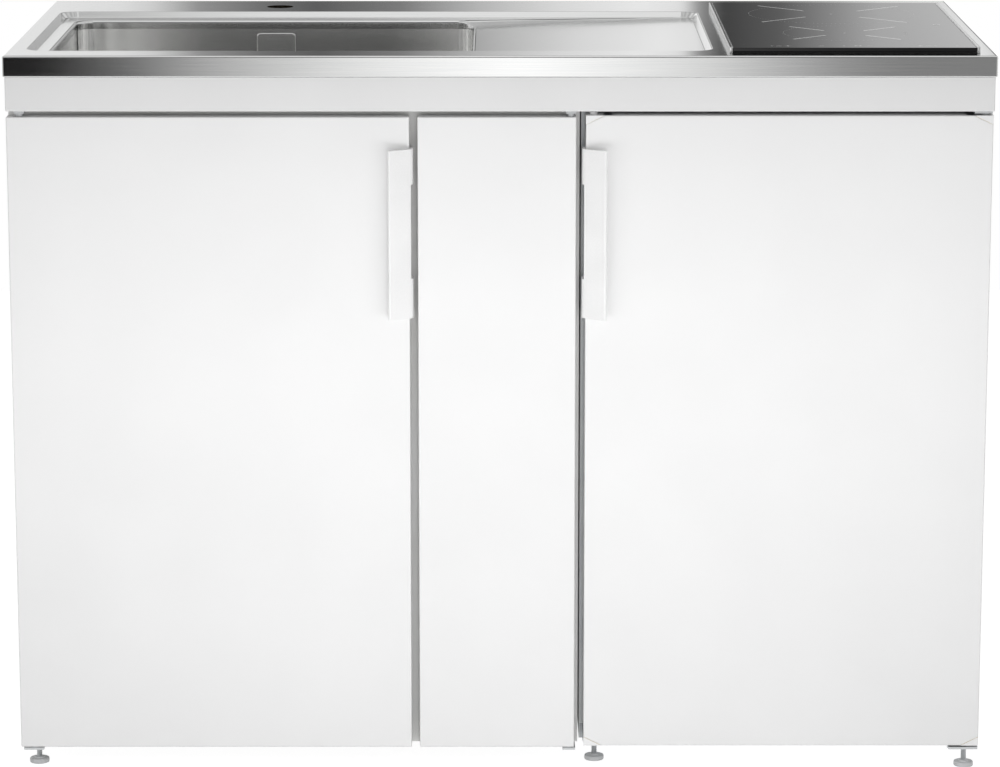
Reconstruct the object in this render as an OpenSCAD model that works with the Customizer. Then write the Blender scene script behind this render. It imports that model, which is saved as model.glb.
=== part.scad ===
// Kitchenette unit: a stainless worktop with a sink and a two-zone hob, on a white cupboard,
// a narrow tall cupboard and an under-counter fridge.
// Frame: origin on the floor at the centre of the whole outline, +X to the right, +Y to the wall, +Z up.
// Depths named _d are measured back from the worktop's front edge.

/* [Overall] */
// Width of the worktop
unit_w = 1200; // [1200:10:1500]
// Depth of the worktop, front edge to back edge
unit_d = 600; // [580:10:720]
// Height of the worktop surface above the floor
unit_h = 900; // [840:5:1080]
// Width of the fridge
fridge_w = 500; // [420:5:600]
// Width of the middle cupboard
middle_w = 200; // [170:5:260]

/* [Worktop] */
// Height of the folded steel edge
edge_h = 26; // [22:1:40]
// Thickness of the worktop sheet
sheet_t = 1.2; // [1:0.1:1.5]
// Width of the lip turned in under the folded edge
lip_w = 14; // [12:1:20]
// Thickness of the board glued under the sheet
core_t = 18; // [12:1:19]
// Flat border at the left end of the recess
recess_side = 22.5; // [18:0.5:40]
// Flat border in front of the recess
recess_front = 51; // [45:1:70]
// Flat ledge behind the recess, which holds the tap
tap_ledge = 127; // [100:1:150]
// Depth of the recess
recess_depth = 7; // [5:0.5:8]
// Corner radius of the recess
recess_r = 24; // [15:1:30]
// Fall of the drainer towards the bowl
drainer_fall = 6; // [3:0.5:8]
// Level stretch of the drainer beside the bowl
drainer_flat = 44; // [10:1:60]
// Steel between the recess and the hob's left trim
hob_bridge = 18.5; // [15:0.5:60]
// Radius of the tap hole
tap_r = 17.5; // [16:0.5:18]

/* [Sink] */
// Width of the bowl
bowl_w = 517; // [400:1:620]
// Length of the bowl, front to back
bowl_l = 353; // [320:1:380]
// Depth of the bowl below the recess
bowl_depth = 160; // [130:5:190]
// Flat border between the recess and the bowl's left side
bowl_side = 26; // [20:1:40]
// Flat border between the recess and the bowl's front
bowl_front = 26; // [20:1:34]
// Corner radius of the bowl
bowl_r = 23; // [15:1:60]
// Thickness of the bowl's steel
bowl_t = 1; // [0.8:0.1:1.2]
// Distance of the waste from the bowl's back wall
waste_back = 110; // [90:5:180]
// Radius of the waste's steel flange
flange_r = 57; // [55:1:60]
// Radius of the waste's cup
cup_r = 44; // [38:1:53]
// Width of the overflow's cover plate
overflow_w = 51; // [45:1:60]
// Height of the overflow's cover plate
overflow_h = 46; // [40:1:56]
// Distance of the cover plate below the bowl's rim
overflow_drop = 16; // [12:1:40]
// Radius of the drain pipe
drain_r = 20; // [16:1:25]
// Height of the drain pipe above the floor
drain_z = 580; // [480:5:590]

/* [Hob] */
// Width of the hob with its trims
hob_w = 304; // [290:1:320]
// Depth of the hob
hob_d = 490; // [470:1:520]
// Height of the glass above the worktop
hob_rise = 7; // [5:0.5:9]
// Distance of the hob from the worktop's front edge
hob_front = 24; // [20:1:40]
// Steel to the right of the hob
hob_side = 18.5; // [15:0.5:40]
// Width of each steel side trim
trim_w = 4; // [3:0.5:6]
// Radius of the rear coil
coil_rear_r = 104; // [80:1:110]
// Radius of the front coil
coil_front_r = 72; // [60:1:80]

/* [Cabinet] */
// Height of the white rail under the worktop
fascia_h = 42; // [36:1:60]
// Setback of the rail behind the worktop's edge
fascia_set = 3; // [2:0.5:5]
// Thickness of the cabinet boards
panel_t = 16; // [15:0.5:19]
// Height of the cabinet's underside above the floor
base_z = 31; // [26:1:60]
// Setback of the cabinet's front behind the worktop's edge
cabinet_set = 34; // [34:1:40]
// Distance from the cabinet's back to the worktop's back edge
wall_gap = 15; // [10:1:20]
// Number of shelves in the middle cupboard
shelf_count = 2; // [1:1:3]

/* [Doors] */
// Thickness of the cabinet doors
door_t = 20; // [18:0.5:20]
// Thickness of the fridge door without its seal
fridge_door_t = 38; // [34:1:38]
// Thickness of the door sheet
skin_t = 1; // [0.8:0.1:1.2]
// Gap between the rail and the cabinet doors
door_top_gap = 7; // [6:0.5:9]
// Gap for the fingers between the left and the middle door
finger_gap = 10; // [8:0.5:14]
// Radius of the hinge pins
pin_r = 4; // [3:0.1:4.8]
// Length of the handles
handle_h = 208; // [180:1:260]
// Distance of the handles below the worktop
handle_drop = 113; // [105:1:160]
// Reach of the handles in front of the doors
handle_reach = 25; // [20:0.5:32]
// Width of the handles across the doors
handle_w = 25.5; // [20:0.5:32]

/* [Fridge] */
// Thickness of the fridge's insulated walls
wall_t = 35; // [30:1:40]
// Height of the ice box
icebox_h = 110; // [100:1:120]
// Height of the step over the compressor
step_z = 255; // [240:5:270]
// Radius of the compressor
compressor_r = 62; // [50:1:64]
// Number of runs of the condenser pipe
condenser_runs = 12; // [8:2:14]

/* [Feet] */
// Radius of the foot discs
foot_r = 12.3; // [11:0.1:16]
// Height of the foot discs
foot_h = 7.5; // [6:0.5:10]
// Radius of the foot studs
stud_r = 3.5; // [2.9:0.1:4.2]

/* [Hidden] */
$fn = 64;

seat = 0.3;         // gap between a loose piece and what carries it
running = 0.06;     // radial clearance of a pin that turns in its hole
past = 1;           // how far a cut runs past the face it opens
overlap = 0.5;      // how far joined stretches of one piece run into each other

// Overall places
y_front = handle_reach / 2 - 2 - unit_d / 2;      // worktop's front edge; the handles reach further
door_d = 4;                                       // front face of all the doors
x_left = -unit_w / 2;
x_right = unit_w / 2;
edge_z = unit_h - edge_h;
fascia_z = edge_z - fascia_h;
end_gap = 2;                                      // cabinet and rail behind the worktop's ends
back_d = unit_d - wall_gap;

// Worktop
recess_x = [x_left + recess_side, x_right - hob_side - hob_w - hob_bridge];
recess_d = [recess_front, unit_d - tap_ledge];
recess_z = unit_h - recess_depth;
bowl_x = [recess_x[0] + bowl_side, recess_x[0] + bowl_side + bowl_w];
bowl_d = [recess_front + bowl_front, recess_front + bowl_front + bowl_l];
bowl_mid = (bowl_x[0] + bowl_x[1]) / 2;
bowl_floor = recess_z - bowl_depth;
drainer_end = 10;                                 // flat border at the drainer's right end
tap_d = unit_d - 70;
lip_z = edge_z + 2 * sheet_t;                     // just above the lip turned in under the edge
flange_w = 9;                                     // rim of the bowl under the recess's floor
core_clear = 4;                                   // board left out round the recess

// Waste
waste_d = bowl_d[1] - waste_back;
cup_depth = 40;
cup_t = 1.5;
body_t = 5;
nut_h = 14;
tail_drop = 34;
pipe_t = 2;
body_z = bowl_floor - bowl_t - cup_depth - 18;
trap_r = 30;
trap_top = body_z - 16;
hose_r = 11;
hose_d = bowl_d[1] + bowl_t + 14;
hose_bend = 20;
inlet_z = body_z + 20;
overflow_x = [bowl_mid - overflow_w / 2, bowl_mid + overflow_w / 2];
overflow_z = [recess_z - overflow_drop - overflow_h, recess_z - overflow_drop];
overflow_lap = 6;                                 // cover plate beyond the hole behind it
overflow_stand = 3;                               // slot that the water runs through behind the plate
overflow_t = 1.5;
housing_t = 2.5;
housing_far = bowl_d[1] + bowl_t + 24;
collar_at = 45;                                   // free end of the outlet pipe behind its collar
collar_t = 4;

// Hob
hob_x = [x_right - hob_side - hob_w, x_right - hob_side];
glass_x = [hob_x[0] + trim_w, hob_x[1] - trim_w];
hob_far = hob_front + hob_d;
gasket_t = 1;
glass_z = [unit_h + gasket_t, unit_h + hob_rise];
casing_in = 15;                                   // casing inside the hob's outline
casing_h = 48;
casing_t = 1;
casing_x = [hob_x[0] + casing_in, hob_x[1] - casing_in];
casing_d = [hob_front + casing_in, hob_far - casing_in];
casing_z = unit_h - casing_h;
cut_clear = 2;                                    // between the casing and the worktop's cut-out
zone_x = (hob_x[0] + hob_x[1]) / 2;
rear_zone_d = hob_far - 132;
front_zone_d = hob_front + 152;
coil_t = 9;
fan_r = 27;
fan_at = [casing_x[0] + fan_r + 8, casing_d[0] + fan_r + 12];

// Cabinet
fridge_x = [x_right - 1 - fridge_w, x_right - 1];
cab_x = [x_left + end_gap, fridge_x[0] - 2];
middle_x = cab_x[1] + 3 - middle_w;               // line between the two cupboards
divider_x = [middle_x + 2 - panel_t, middle_x + 2];
floor_z = base_z + panel_t;
back_t = 3;
cab_d = [cabinet_set, back_d];
inner_far = back_d - 2 * back_t;                  // front of the back panel
rail_w = 22;
rail_x = [x_left + end_gap, x_right - end_gap];
rail_far = unit_d - fascia_set;
stretcher_d = 26;
sleeve = 8;                                       // clear space round the bowl

// Doors
door_z = [base_z + 1.5, fascia_z - door_top_gap];
left_door_x = [cab_x[0] + 0.2, middle_x - finger_gap];
middle_door_x = [middle_x, cab_x[1] - 4.6];
fridge_door_x = [fridge_x[0] + 5, fridge_x[1] - 2];
fridge_door_z = [base_z + 3.4, fascia_z - 5];
pin_h = 15;                                       // length of a hinge pin inside its door
skin_clear = 0.5;                                 // the sheet's hole stays clear of the pin
pin_wall = 2.5;                                   // door left beside the middle door's pin
collar_r = pin_r + 1;
left_pin = [left_door_x[0] + 16, door_d + door_t / 2];
middle_pin = [middle_door_x[1] - pin_r - pin_wall, door_d + door_t / 2];
fridge_pin_in = 9.5;
fridge_pin = [fridge_door_x[1] - fridge_pin_in, door_d + 16];
spare_pin = [fridge_door_x[0] + fridge_pin_in, fridge_pin[1]];
plate_t = 3;
handle_z = [unit_h - handle_drop - handle_h, unit_h - handle_drop];
tab_top = 43.5;                                   // parts of the handle that wrap round the edge
tab_bottom = 48.5;
tab_out = 4.6;

// Fridge
seal_t = 7.7;
fridge_d = [door_d + fridge_door_t + seal_t + seat, back_d - 25];
shell_t = 1;
liner_t = 1.5;
tray_t = 2;
foam_z = base_z + 19;
room_x = [fridge_x[0] + wall_t, fridge_x[1] - wall_t];
room_z = [foam_z + wall_t, fascia_z - wall_t - 1];
room_far = fridge_d[1] - wall_t;
niche_d = fridge_d[1] - 160;
niche_z = step_z - 19;
step_d = niche_d - wall_t;
ledge_w = 8;
ledge_h = 6;
glass_t = 4;
shelf_z = [step_z + 7, step_z + 145, step_z + 305];
shelf_front = 140;
icebox_t = 1.5;
icebox_x = [room_x[0] + 14, room_x[1] - 14];
icebox_d = [165, room_far - 10];
icebox_z = [room_z[1] - icebox_h, room_z[1]];
flap_t = 8;
flap_pin = [icebox_d[0] - seat - flap_t / 2, room_z[1] - 10];
ear_t = 3;
flap_pin_r = 3;
crisper_x = [room_x[0] + 10, room_x[1] - 10];
crisper_d = [170, step_d - 10];
crisper_z = [room_z[0] + seat, shelf_z[0] - ledge_h - 5];
crisper_t = 2;
knob_r = 13;
knob_l = 14;
thermostat_x = [room_x[1] - 34, room_x[1]];
thermostat_d = [300, 410];
thermostat_z = [shelf_z[2] + 34, shelf_z[2] + 84];
compressor_at = [fridge_x[1] - 129, niche_d + 80];
compressor_h = 138;
condenser_r = 2.5;
pipe_d = fridge_d[1] + 15;                        // plane of the condenser's pipe
bend_r = 12;
wire_r = 1;
wire_gap = 0.05;                                  // solder between a wire and the pipe
line_z = base_z + 100;                            // pipe from the condenser to the compressor
stub_d = compressor_at[1] + compressor_r + 8;
rib_x = [icebox_x[0] + 4, icebox_x[1] - 4];
rib_t = 6;
rib_far = door_d + fridge_door_t + 33;
bin_d = [door_d + fridge_door_t + seat, door_d + fridge_door_t + 88];
bin_t = 2;
bin_floor = [room_z[0] + 24, step_z + 85, step_z + 245];
bin_h = [84, 62, 62];
cap_w = 22;
cap_h = 11;
cap_block = [32, 20];

// Feet: place of each stud as [x, depth]
foot_left_front_at = [left_pin[0] + 1.3, cabinet_set + 15];
foot_left_rear_at = [left_pin[0] + 1.3, back_d - 45];
foot_middle_front_at = [cab_x[1] - 18, cabinet_set + 96];
foot_middle_rear_at = [cab_x[1] - 18, back_d - 45];
foot_fridge_left_at = [fridge_x[0] + 19.8, fridge_d[0] + 11];
foot_fridge_right_at = [fridge_pin[0] - 5, fridge_pin[1] + 14];
stud_top = base_z + 12;
stud_clear = 2.5;                                 // free room round a stud above its nut plate

// A block between two corners, each given as [low, high]
module slab(x, d, z) translate([x[0], y_front + d[0], z[0]])
    cube([x[1] - x[0], d[1] - d[0], z[1] - z[0]]);

// A point given by x, depth and height
module at(x, d, z) translate([x, y_front + d, z]) children();

// A block with round upright corners
module round_slab(x, d, z, r) translate([0, y_front, z[0]]) linear_extrude(z[1] - z[0]) {
    translate([x[0] + r, d[0]]) square([x[1] - x[0] - 2 * r, d[1] - d[0]]);
    translate([x[0], d[0] + r]) square([x[1] - x[0], d[1] - d[0] - 2 * r]);
    for (cx = [x[0] + r, x[1] - r], cd = [d[0] + r, d[1] - r]) translate([cx, cd]) circle(r);
}

// The range [low, high] grown by g at both ends
function grow(range, g) = [range[0] - g, range[1] + g];

function middle(range) = (range[0] + range[1]) / 2;

// An upright disc or pin between two heights
module post(at_xd, z, r) at(at_xd[0], at_xd[1], z[0]) cylinder(r = r, h = z[1] - z[0]);

// ---- Worktop ----

// The drainer's sunk tray: its floor falls towards the bowl. lower moves it down by the sheet.
module drainer_hollow(lower = 0, wider = 0) {
    low = recess_z - drainer_fall - lower;
    high = recess_z - lower;
    at(0, bowl_d[1] + wider, 0) rotate([90, 0, 0]) linear_extrude(bowl_l + 2 * wider)
        polygon([
            [bowl_x[1] - overlap, low], [bowl_x[1] + drainer_flat, low],
            [recess_x[1] - drainer_end, high], [recess_x[1] - drainer_end, high + past],
            [bowl_x[1] - overlap, high + past],
        ]);
}

module worktop() color("silver") difference() {
    union() {
        difference() {
            slab([x_left, x_right], [0, unit_d], [edge_z, unit_h]);
            slab(grow([x_left, x_right], -sheet_t), grow([0, unit_d], -sheet_t),
                [edge_z + sheet_t, unit_h - sheet_t]);
            slab(grow([x_left, x_right], -lip_w), grow([0, unit_d], -lip_w),
                [edge_z - past, lip_z]);
        }
        round_slab(grow(recess_x, sheet_t), grow(recess_d, sheet_t),
            [recess_z - sheet_t, unit_h], recess_r + sheet_t);
        intersection() {
            drainer_hollow(sheet_t, sheet_t);
            slab([bowl_x[1], recess_x[1]], recess_d, [edge_z, recess_z]);
        }
    }
    round_slab(recess_x, recess_d, [recess_z, unit_h + past], recess_r);
    round_slab(bowl_x, bowl_d, [edge_z, unit_h], bowl_r);
    drainer_hollow();
    slab(grow(casing_x, cut_clear), grow(casing_d, cut_clear), [lip_z, unit_h + past]);
    post([bowl_mid, tap_d], [lip_z, unit_h + past], tap_r);
}

module worktop_core() color("burlywood") difference() {
    slab(grow([x_left, x_right], -sheet_t), grow([0, unit_d], -sheet_t),
        [unit_h - sheet_t - core_t, unit_h - sheet_t]);
    round_slab(grow(recess_x, core_clear), grow(recess_d, core_clear), [edge_z, unit_h],
        recess_r + core_clear);
    slab(grow(casing_x, cut_clear), grow(casing_d, cut_clear), [edge_z, unit_h]);
    post([bowl_mid, tap_d], [edge_z, unit_h], tap_r + 5);
}

module sink_bowl() color("silver") difference() {
    union() {
        round_slab(grow(bowl_x, bowl_t), grow(bowl_d, bowl_t),
            [bowl_floor - bowl_t, recess_z - sheet_t], bowl_r + bowl_t);
        round_slab(grow(bowl_x, flange_w), grow(bowl_d, flange_w),
            [recess_z - sheet_t - bowl_t, recess_z - sheet_t], bowl_r + flange_w);
    }
    round_slab(bowl_x, bowl_d, [bowl_floor, unit_h], bowl_r);
    // room for the drainer's tray
    slab([bowl_x[1], recess_x[1]], grow(bowl_d, sheet_t),
        [recess_z - drainer_fall - sheet_t, recess_z]);
    post([bowl_mid, waste_d], [bowl_floor - past - bowl_t, bowl_floor + past], cup_r + seat);
    slab(grow(overflow_x, -overflow_lap), [bowl_d[1] - past, bowl_d[1] + bowl_t + past],
        grow(overflow_z, -overflow_lap));
}

// A plate that stands off the bowl's back wall, on a screw into the housing behind the wall
module overflow_cover() color("gainsboro") {
    plate_d = bowl_d[1] - overflow_stand - overflow_t;
    slab(overflow_x, [plate_d, plate_d + overflow_t], overflow_z);
    at(bowl_mid, plate_d + overlap, middle(overflow_z)) rotate([-90, 0, 0])
        cylinder(r = 3, h = housing_far - housing_t - plate_d - overlap);
}

// The overflow's housing behind the bowl and the pipe from it to the waste
module overflow_pipe() color("white") difference() {
    turn_z = inlet_z + hose_bend;
    reach = waste_d + cup_r + body_t + 14;
    union() {
        slab(overflow_x, [bowl_d[1] + bowl_t, housing_far], overflow_z);
        post([bowl_mid, hose_d], [turn_z, overflow_z[0] + overlap], hose_r);
        at(bowl_mid, hose_d - hose_bend, turn_z) rotate([90, 0, 90])
            rotate([0, 0, -90]) rotate_extrude(angle = 90) translate([hose_bend, 0]) circle(hose_r);
        at(bowl_mid, reach, inlet_z) rotate([-90, 0, 0])
            cylinder(r = hose_r, h = hose_d - hose_bend - reach);
    }
    slab(grow(overflow_x, -housing_t), [bowl_d[1], housing_far - housing_t],
        grow(overflow_z, -housing_t));
    post([bowl_mid, hose_d], [turn_z, overflow_z[0] + housing_t + overlap], hose_r - pipe_t);
}

module waste_flange() color("silver") difference() {
    union() {
        post([bowl_mid, waste_d], [bowl_floor, bowl_floor + 1.5], flange_r);
        post([bowl_mid, waste_d], [bowl_floor - cup_depth, bowl_floor + 1], cup_r);
    }
    post([bowl_mid, waste_d], [bowl_floor - cup_depth + cup_t, bowl_floor + 2], cup_r - cup_t);
    // drain holes round the cup's floor
    for (a = [0:45:315]) at(bowl_mid, waste_d, bowl_floor - cup_depth - past) rotate(a)
        translate([cup_r - 16, 0]) cylinder(r = 5, h = 4);
}

module strainer_basket() color("gainsboro") {
    basket_r = cup_r - cup_t - 1;
    floor_at = bowl_floor - cup_depth + cup_t + seat;
    difference() {
        post([bowl_mid, waste_d], [floor_at, bowl_floor - 4], basket_r);
        post([bowl_mid, waste_d], [floor_at + 2, bowl_floor], basket_r - 1.5);
        for (a = [0:30:330]) at(bowl_mid, waste_d, floor_at - past) rotate(a)
            translate([basket_r - 9, 0]) cylinder(r = 2.5, h = 4);
    }
    post([bowl_mid, waste_d], [floor_at + 1, bowl_floor + 2], 3);
    post([bowl_mid, waste_d], [bowl_floor + 2, bowl_floor + 7], 9);
}

module waste_body() color("white") difference() {
    under = bowl_floor - bowl_t;
    union() {
        post([bowl_mid, waste_d], [under - nut_h, under], flange_r - 2);
        post([bowl_mid, waste_d], [body_z, under - nut_h + past], cup_r + body_t);
        post([bowl_mid, waste_d], [body_z - tail_drop, body_z + past], drain_r);
        at(bowl_mid, waste_d + cup_r, inlet_z) rotate([-90, 0, 0])
            cylinder(r = hose_r, h = body_t + 14);
    }
    post([bowl_mid, waste_d], [body_z + 4, under + past], cup_r + seat);
    post([bowl_mid, waste_d], [body_z - tail_drop - past, body_z + 5], drain_r - pipe_t);
}

module bottle_trap() color("white") difference() {
    union() {
        post([bowl_mid, waste_d], [trap_top - 8, trap_top], drain_r + 5);
        post([bowl_mid, waste_d], [drain_z - 75, trap_top - 8], trap_r);
        post([bowl_mid, waste_d], [drain_z - 85, drain_z - 60], trap_r + 5);
        at(bowl_mid, waste_d, drain_z) rotate([-90, 0, 0]) cylinder(r = drain_r + 4, h = trap_r + 16);
    }
    post([bowl_mid, waste_d], [drain_z - 81, trap_top - 11], trap_r - 3);
    post([bowl_mid, waste_d], [trap_top - 12, trap_top + past], drain_r + running);
    at(bowl_mid, waste_d, drain_z) rotate([-90, 0, 0]) cylinder(r = drain_r - pipe_t, h = trap_r + 2);
    at(bowl_mid, waste_d + trap_r - 1, drain_z) rotate([-90, 0, 0])
        cylinder(r = drain_r + running, h = 20);
}

// The pipe to the wall, with a collar that stops it in the wall's socket
module outlet_pipe() color("white") at(bowl_mid, waste_d + trap_r, drain_z) rotate([-90, 0, 0])
    difference() {
        pipe_l = unit_d - waste_d - trap_r;
        union() {
            cylinder(r = drain_r, h = pipe_l);
            translate([0, 0, pipe_l - collar_at - collar_t]) cylinder(r = drain_r + 3, h = collar_t);
        }
        translate([0, 0, -past]) cylinder(r = drain_r - pipe_t, h = pipe_l + 2 * past);
    }

// ---- Hob ----

module hob_glass() color("black") slab(glass_x, [hob_front, hob_far], glass_z);

module hob_side_trims() color("silver")
    for (x = [hob_x[0], glass_x[1]])
        slab([x, x + trim_w], [hob_front, hob_far], [unit_h, unit_h + hob_rise + 0.5]);

module hob_gasket() color("dimgray") difference() {
    slab(glass_x, [hob_front + 1, hob_far - 1], [unit_h, unit_h + gasket_t]);
    slab(grow(casing_x, seat), grow(casing_d, seat), [unit_h - past, unit_h + gasket_t + past]);
}

module hob_casing() color("lightgray") {
    difference() {
        slab(casing_x, casing_d, [casing_z, unit_h + gasket_t]);
        slab(grow(casing_x, -casing_t), grow(casing_d, -casing_t),
            [casing_z + casing_t, unit_h + 2]);
        for (i = [0:5]) slab([zone_x - 60, zone_x + 60],
            [rear_zone_d - 60 + 22 * i, rear_zone_d - 52 + 22 * i],
            [casing_z - past, casing_z + 2]);
    }
    post(fan_at, [casing_z + casing_t, casing_z + 14], 3);
}

// One flat winding on its former, with three legs to the casing's floor. turn places the first leg.
module coil(r, d, turn) {
    z = unit_h - coil_t;
    difference() {
        post([zone_x, d], [z, unit_h], r);
        post([zone_x, d], [z + 3, unit_h + past], 16);
    }
    for (a = [0, 120, 240]) at(zone_x, d, casing_z + casing_t) rotate(turn + a) translate([r - 12, 0])
        cylinder(r = 4, h = z - casing_z - casing_t);
}

module induction_coils() color("chocolate") {
    coil(coil_rear_r, rear_zone_d, 90);
    coil(coil_front_r, front_zone_d, 270);
}

module hob_power_board() color("seagreen") {
    z = casing_z + casing_t;
    mid_d = (front_zone_d + rear_zone_d) / 2;
    slab([zone_x - 45, zone_x + 45], [mid_d - 70, mid_d + 60], [z + 5, z + 7]);
    for (x = [-40, 40], d = [-64, 54]) post([zone_x + x, mid_d + d], [z, z + 5], 3);
    for (i = [0:6]) slab([zone_x - 40, zone_x + 10], [mid_d - 36 + 8 * i, mid_d - 33 + 8 * i],
        [z + 7, z + 24]);
    post([zone_x + 28, mid_d + 6], [z + 7, z + 26], 9);
    // touch control strip behind the front of the glass
    slab([zone_x - 80, zone_x + 110], [casing_d[0] + 8, casing_d[0] + 40], [unit_h - 6, unit_h - 4]);
    for (x = [-72, 102]) post([zone_x + x, casing_d[0] + 24], [z, unit_h - 6], 4);
}

module hob_fan() color("dimgray") {
    z = [casing_z + 4, casing_z + 24];
    difference() {
        union() {
            post(fan_at, [z[0], z[0] + 2], fan_r);
            post(fan_at, z, 9);
            for (a = [0:30:330]) at(fan_at[0], fan_at[1], z[0]) rotate(a)
                translate([fan_r - 11, -0.75, 0]) cube([10, 1.5, z[1] - z[0]]);
        }
        post(fan_at, [z[0] - past, casing_z + 14.5], 3 + running);
    }
}

// ---- Rails under the worktop ----

// A closed box of sheet between two corners
module box_rail(x, d) difference() {
    slab(x, d, [fascia_z, edge_z]);
    slab(grow(x, -sheet_t), grow(d, -sheet_t), grow([fascia_z, edge_z], -sheet_t));
}

module fascia_rail() color("white") box_rail(rail_x, [fascia_set, fascia_set + rail_w]);

module top_frame() color("white") {
    side_d = [fascia_set + rail_w, rail_far - rail_w];
    box_rail([rail_x[0], rail_x[0] + rail_w], side_d);
    box_rail([rail_x[1] - rail_w, rail_x[1]], side_d);
    box_rail(rail_x, [rail_far - rail_w, rail_far]);
}

// ---- Cabinet ----

module side_panel_left() color("whitesmoke")
    slab([cab_x[0], cab_x[0] + panel_t], cab_d, [floor_z, fascia_z]);

module divider_panel() color("whitesmoke") difference() {
    slab(divider_x, [cab_d[0], inner_far], [floor_z, fascia_z]);
    slab(grow(divider_x, past), [cab_d[0] + stretcher_d, hose_d + 22],
        [bowl_floor - 2 * sleeve, unit_h]);
}

module side_panel_middle() color("whitesmoke")
    slab([cab_x[1] - panel_t, cab_x[1]], cab_d, [floor_z, fascia_z]);

module bottom_panel() color("whitesmoke") difference() {
    slab(cab_x, cab_d, [base_z, floor_z]);
    for (p = [foot_left_front_at, foot_left_rear_at, foot_middle_front_at, foot_middle_rear_at])
        post(p, [base_z - past, stud_top + past], stud_r + stud_clear);
}

module back_panel() color("whitesmoke") difference() {
    slab([cab_x[0] + panel_t, cab_x[1] - panel_t], [inner_far, inner_far + back_t],
        [floor_z, fascia_z]);
    slab([bowl_mid - drain_r - 20, bowl_mid + drain_r + 110],
        grow([inner_far, inner_far + back_t], past), [drain_z - 60, drain_z + 60]);
}

// The rear ones stand upright, clear of the tap's hoses.
module top_stretchers() color("whitesmoke")
    for (x = [[cab_x[0] + panel_t, divider_x[0]], [divider_x[1], cab_x[1] - panel_t]]) {
        slab(x, [cab_d[0], cab_d[0] + stretcher_d], [fascia_z - panel_t, fascia_z]);
        slab(x, [inner_far - panel_t, inner_far], [fascia_z - 2 * stretcher_d, fascia_z]);
    }

module middle_shelves() color("whitesmoke") {
    room = bowl_floor - 2 * sleeve - floor_z;
    for (i = [1:shelf_count]) {
        z = floor_z + room * i / (shelf_count + 1);
        slab([divider_x[1], cab_x[1] - panel_t], [cab_d[0] + 30, inner_far],
            [z, z + panel_t]);
    }
}

module magnet_catches() color("white")
    for (x = [divider_x[0] - 20, divider_x[1]])
        slab([x, x + 20], [door_d + door_t + seat, cab_d[0] + 22],
            [fascia_z - panel_t - 42, fascia_z - panel_t - 30]);

// ---- Doors ----

// A sheet folded into a shallow tray that faces the front
module door_pan(x, t, z) difference() {
    slab(x, [door_d, door_d + t], z);
    slab(grow(x, -skin_t), [door_d + skin_t, door_d + t + past], grow(z, -skin_t));
}

// Holes for the hinge pins at both ends of a door
module pin_holes(pin, z, r) {
    post(pin, [z[0] - past, z[0] + pin_h + 1], r);
    post(pin, [z[1] - pin_h - 1, z[1] + past], r);
}

module cabinet_door_skin(x, pin) difference() {
    door_pan(x, door_t, door_z);
    pin_holes(pin, door_z, pin_r + skin_clear);
}

module cabinet_door_core(x, pin) difference() {
    slab(grow(x, -skin_t), [door_d + skin_t, door_d + door_t], grow(door_z, -skin_t));
    pin_holes(pin, door_z, pin_r + running);
}

module left_door_skin() color("white") cabinet_door_skin(left_door_x, left_pin);
module left_door_core() color("gainsboro") cabinet_door_core(left_door_x, left_pin);
module middle_door_skin() color("white") cabinet_door_skin(middle_door_x, middle_pin);
module middle_door_core() color("gainsboro") cabinet_door_core(middle_door_x, middle_pin);

// Points of an arc about [cx, cy] from angle a to b
function arc(cx, cy, r, a, b, n = 8) =
    [for (i = [0:n]) let (t = a + (b - a) * i / n) [cx + r * cos(t), cy + r * sin(t)]];

// The handle's section: u runs across the door from its edge, w runs out from its face
module handle_section() {
    bend = 12;
    lean = 121;
    tip = 2.2;
    polygon(concat(
        [[0, -14], [-tab_out, -14]],
        arc(bend - tab_out, 0, bend, 180, lean),
        arc(handle_w - tip, handle_reach - tip, tip, lean, lean - 150),
        arc(bend - tab_out, 0, bend - tab_out, lean, 180)
    ));
}

// A handle that wraps round a door's edge. side is 1 where the handle runs to +X from the edge.
module handle(edge_x, side) at(edge_x, door_d, handle_z[0]) scale([side, -1, 1]) difference() {
    linear_extrude(handle_h) handle_section();
    notch_h = handle_h - tab_top - tab_bottom;
    translate([-tab_out - past, -15, tab_bottom]) {
        cube([tab_out + past - 2, 15 + handle_reach, notch_h]);
        cube([tab_out + 2 * past, 15, notch_h]);
    }
}

module left_door_handle() color("white") mirror([1, 0, 0]) handle(-left_door_x[1], 1);
module fridge_door_handle() color("white") handle(fridge_door_x[0], 1);

// ---- Hinges ----

// A pin that hangs from a plate under the rail into a door's top
module top_pivot(pin, door_top) {
    post(pin, [door_top + 1, fascia_z - plate_t + overlap], collar_r);
    post(pin, [door_top - pin_h, door_top + 1 + overlap], pin_r);
}

// A pin that stands on a plate into a door's bottom
module bottom_pivot(pin, door_bottom) {
    post(pin, [base_z - overlap, door_bottom - 0.6], collar_r + 1);
    post(pin, [base_z, door_bottom + pin_h], pin_r);
}

module cabinet_hinges() color("white") {
    for (p = [left_pin, middle_pin]) {
        slab([p[0] - 6, p[0] + 6], [p[1] - 8, fascia_set + rail_w], [fascia_z - plate_t, fascia_z]);
        top_pivot(p, door_z[1]);
    }
    difference() {
        slab([left_pin[0] - 13, left_pin[0] + 12],
            [left_pin[1] - 7, foot_left_front_at[1] + 16], [base_z - plate_t, base_z]);
        post(foot_left_front_at, [0, base_z + past], stud_r + running);
    }
    bottom_pivot(left_pin, door_z[0]);
    slab([middle_pin[0] - 8, middle_pin[0] + 8], [middle_pin[1] - 7, cab_d[0] + 40],
        [base_z - plate_t, base_z]);
    bottom_pivot(middle_pin, door_z[0]);
}

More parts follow.
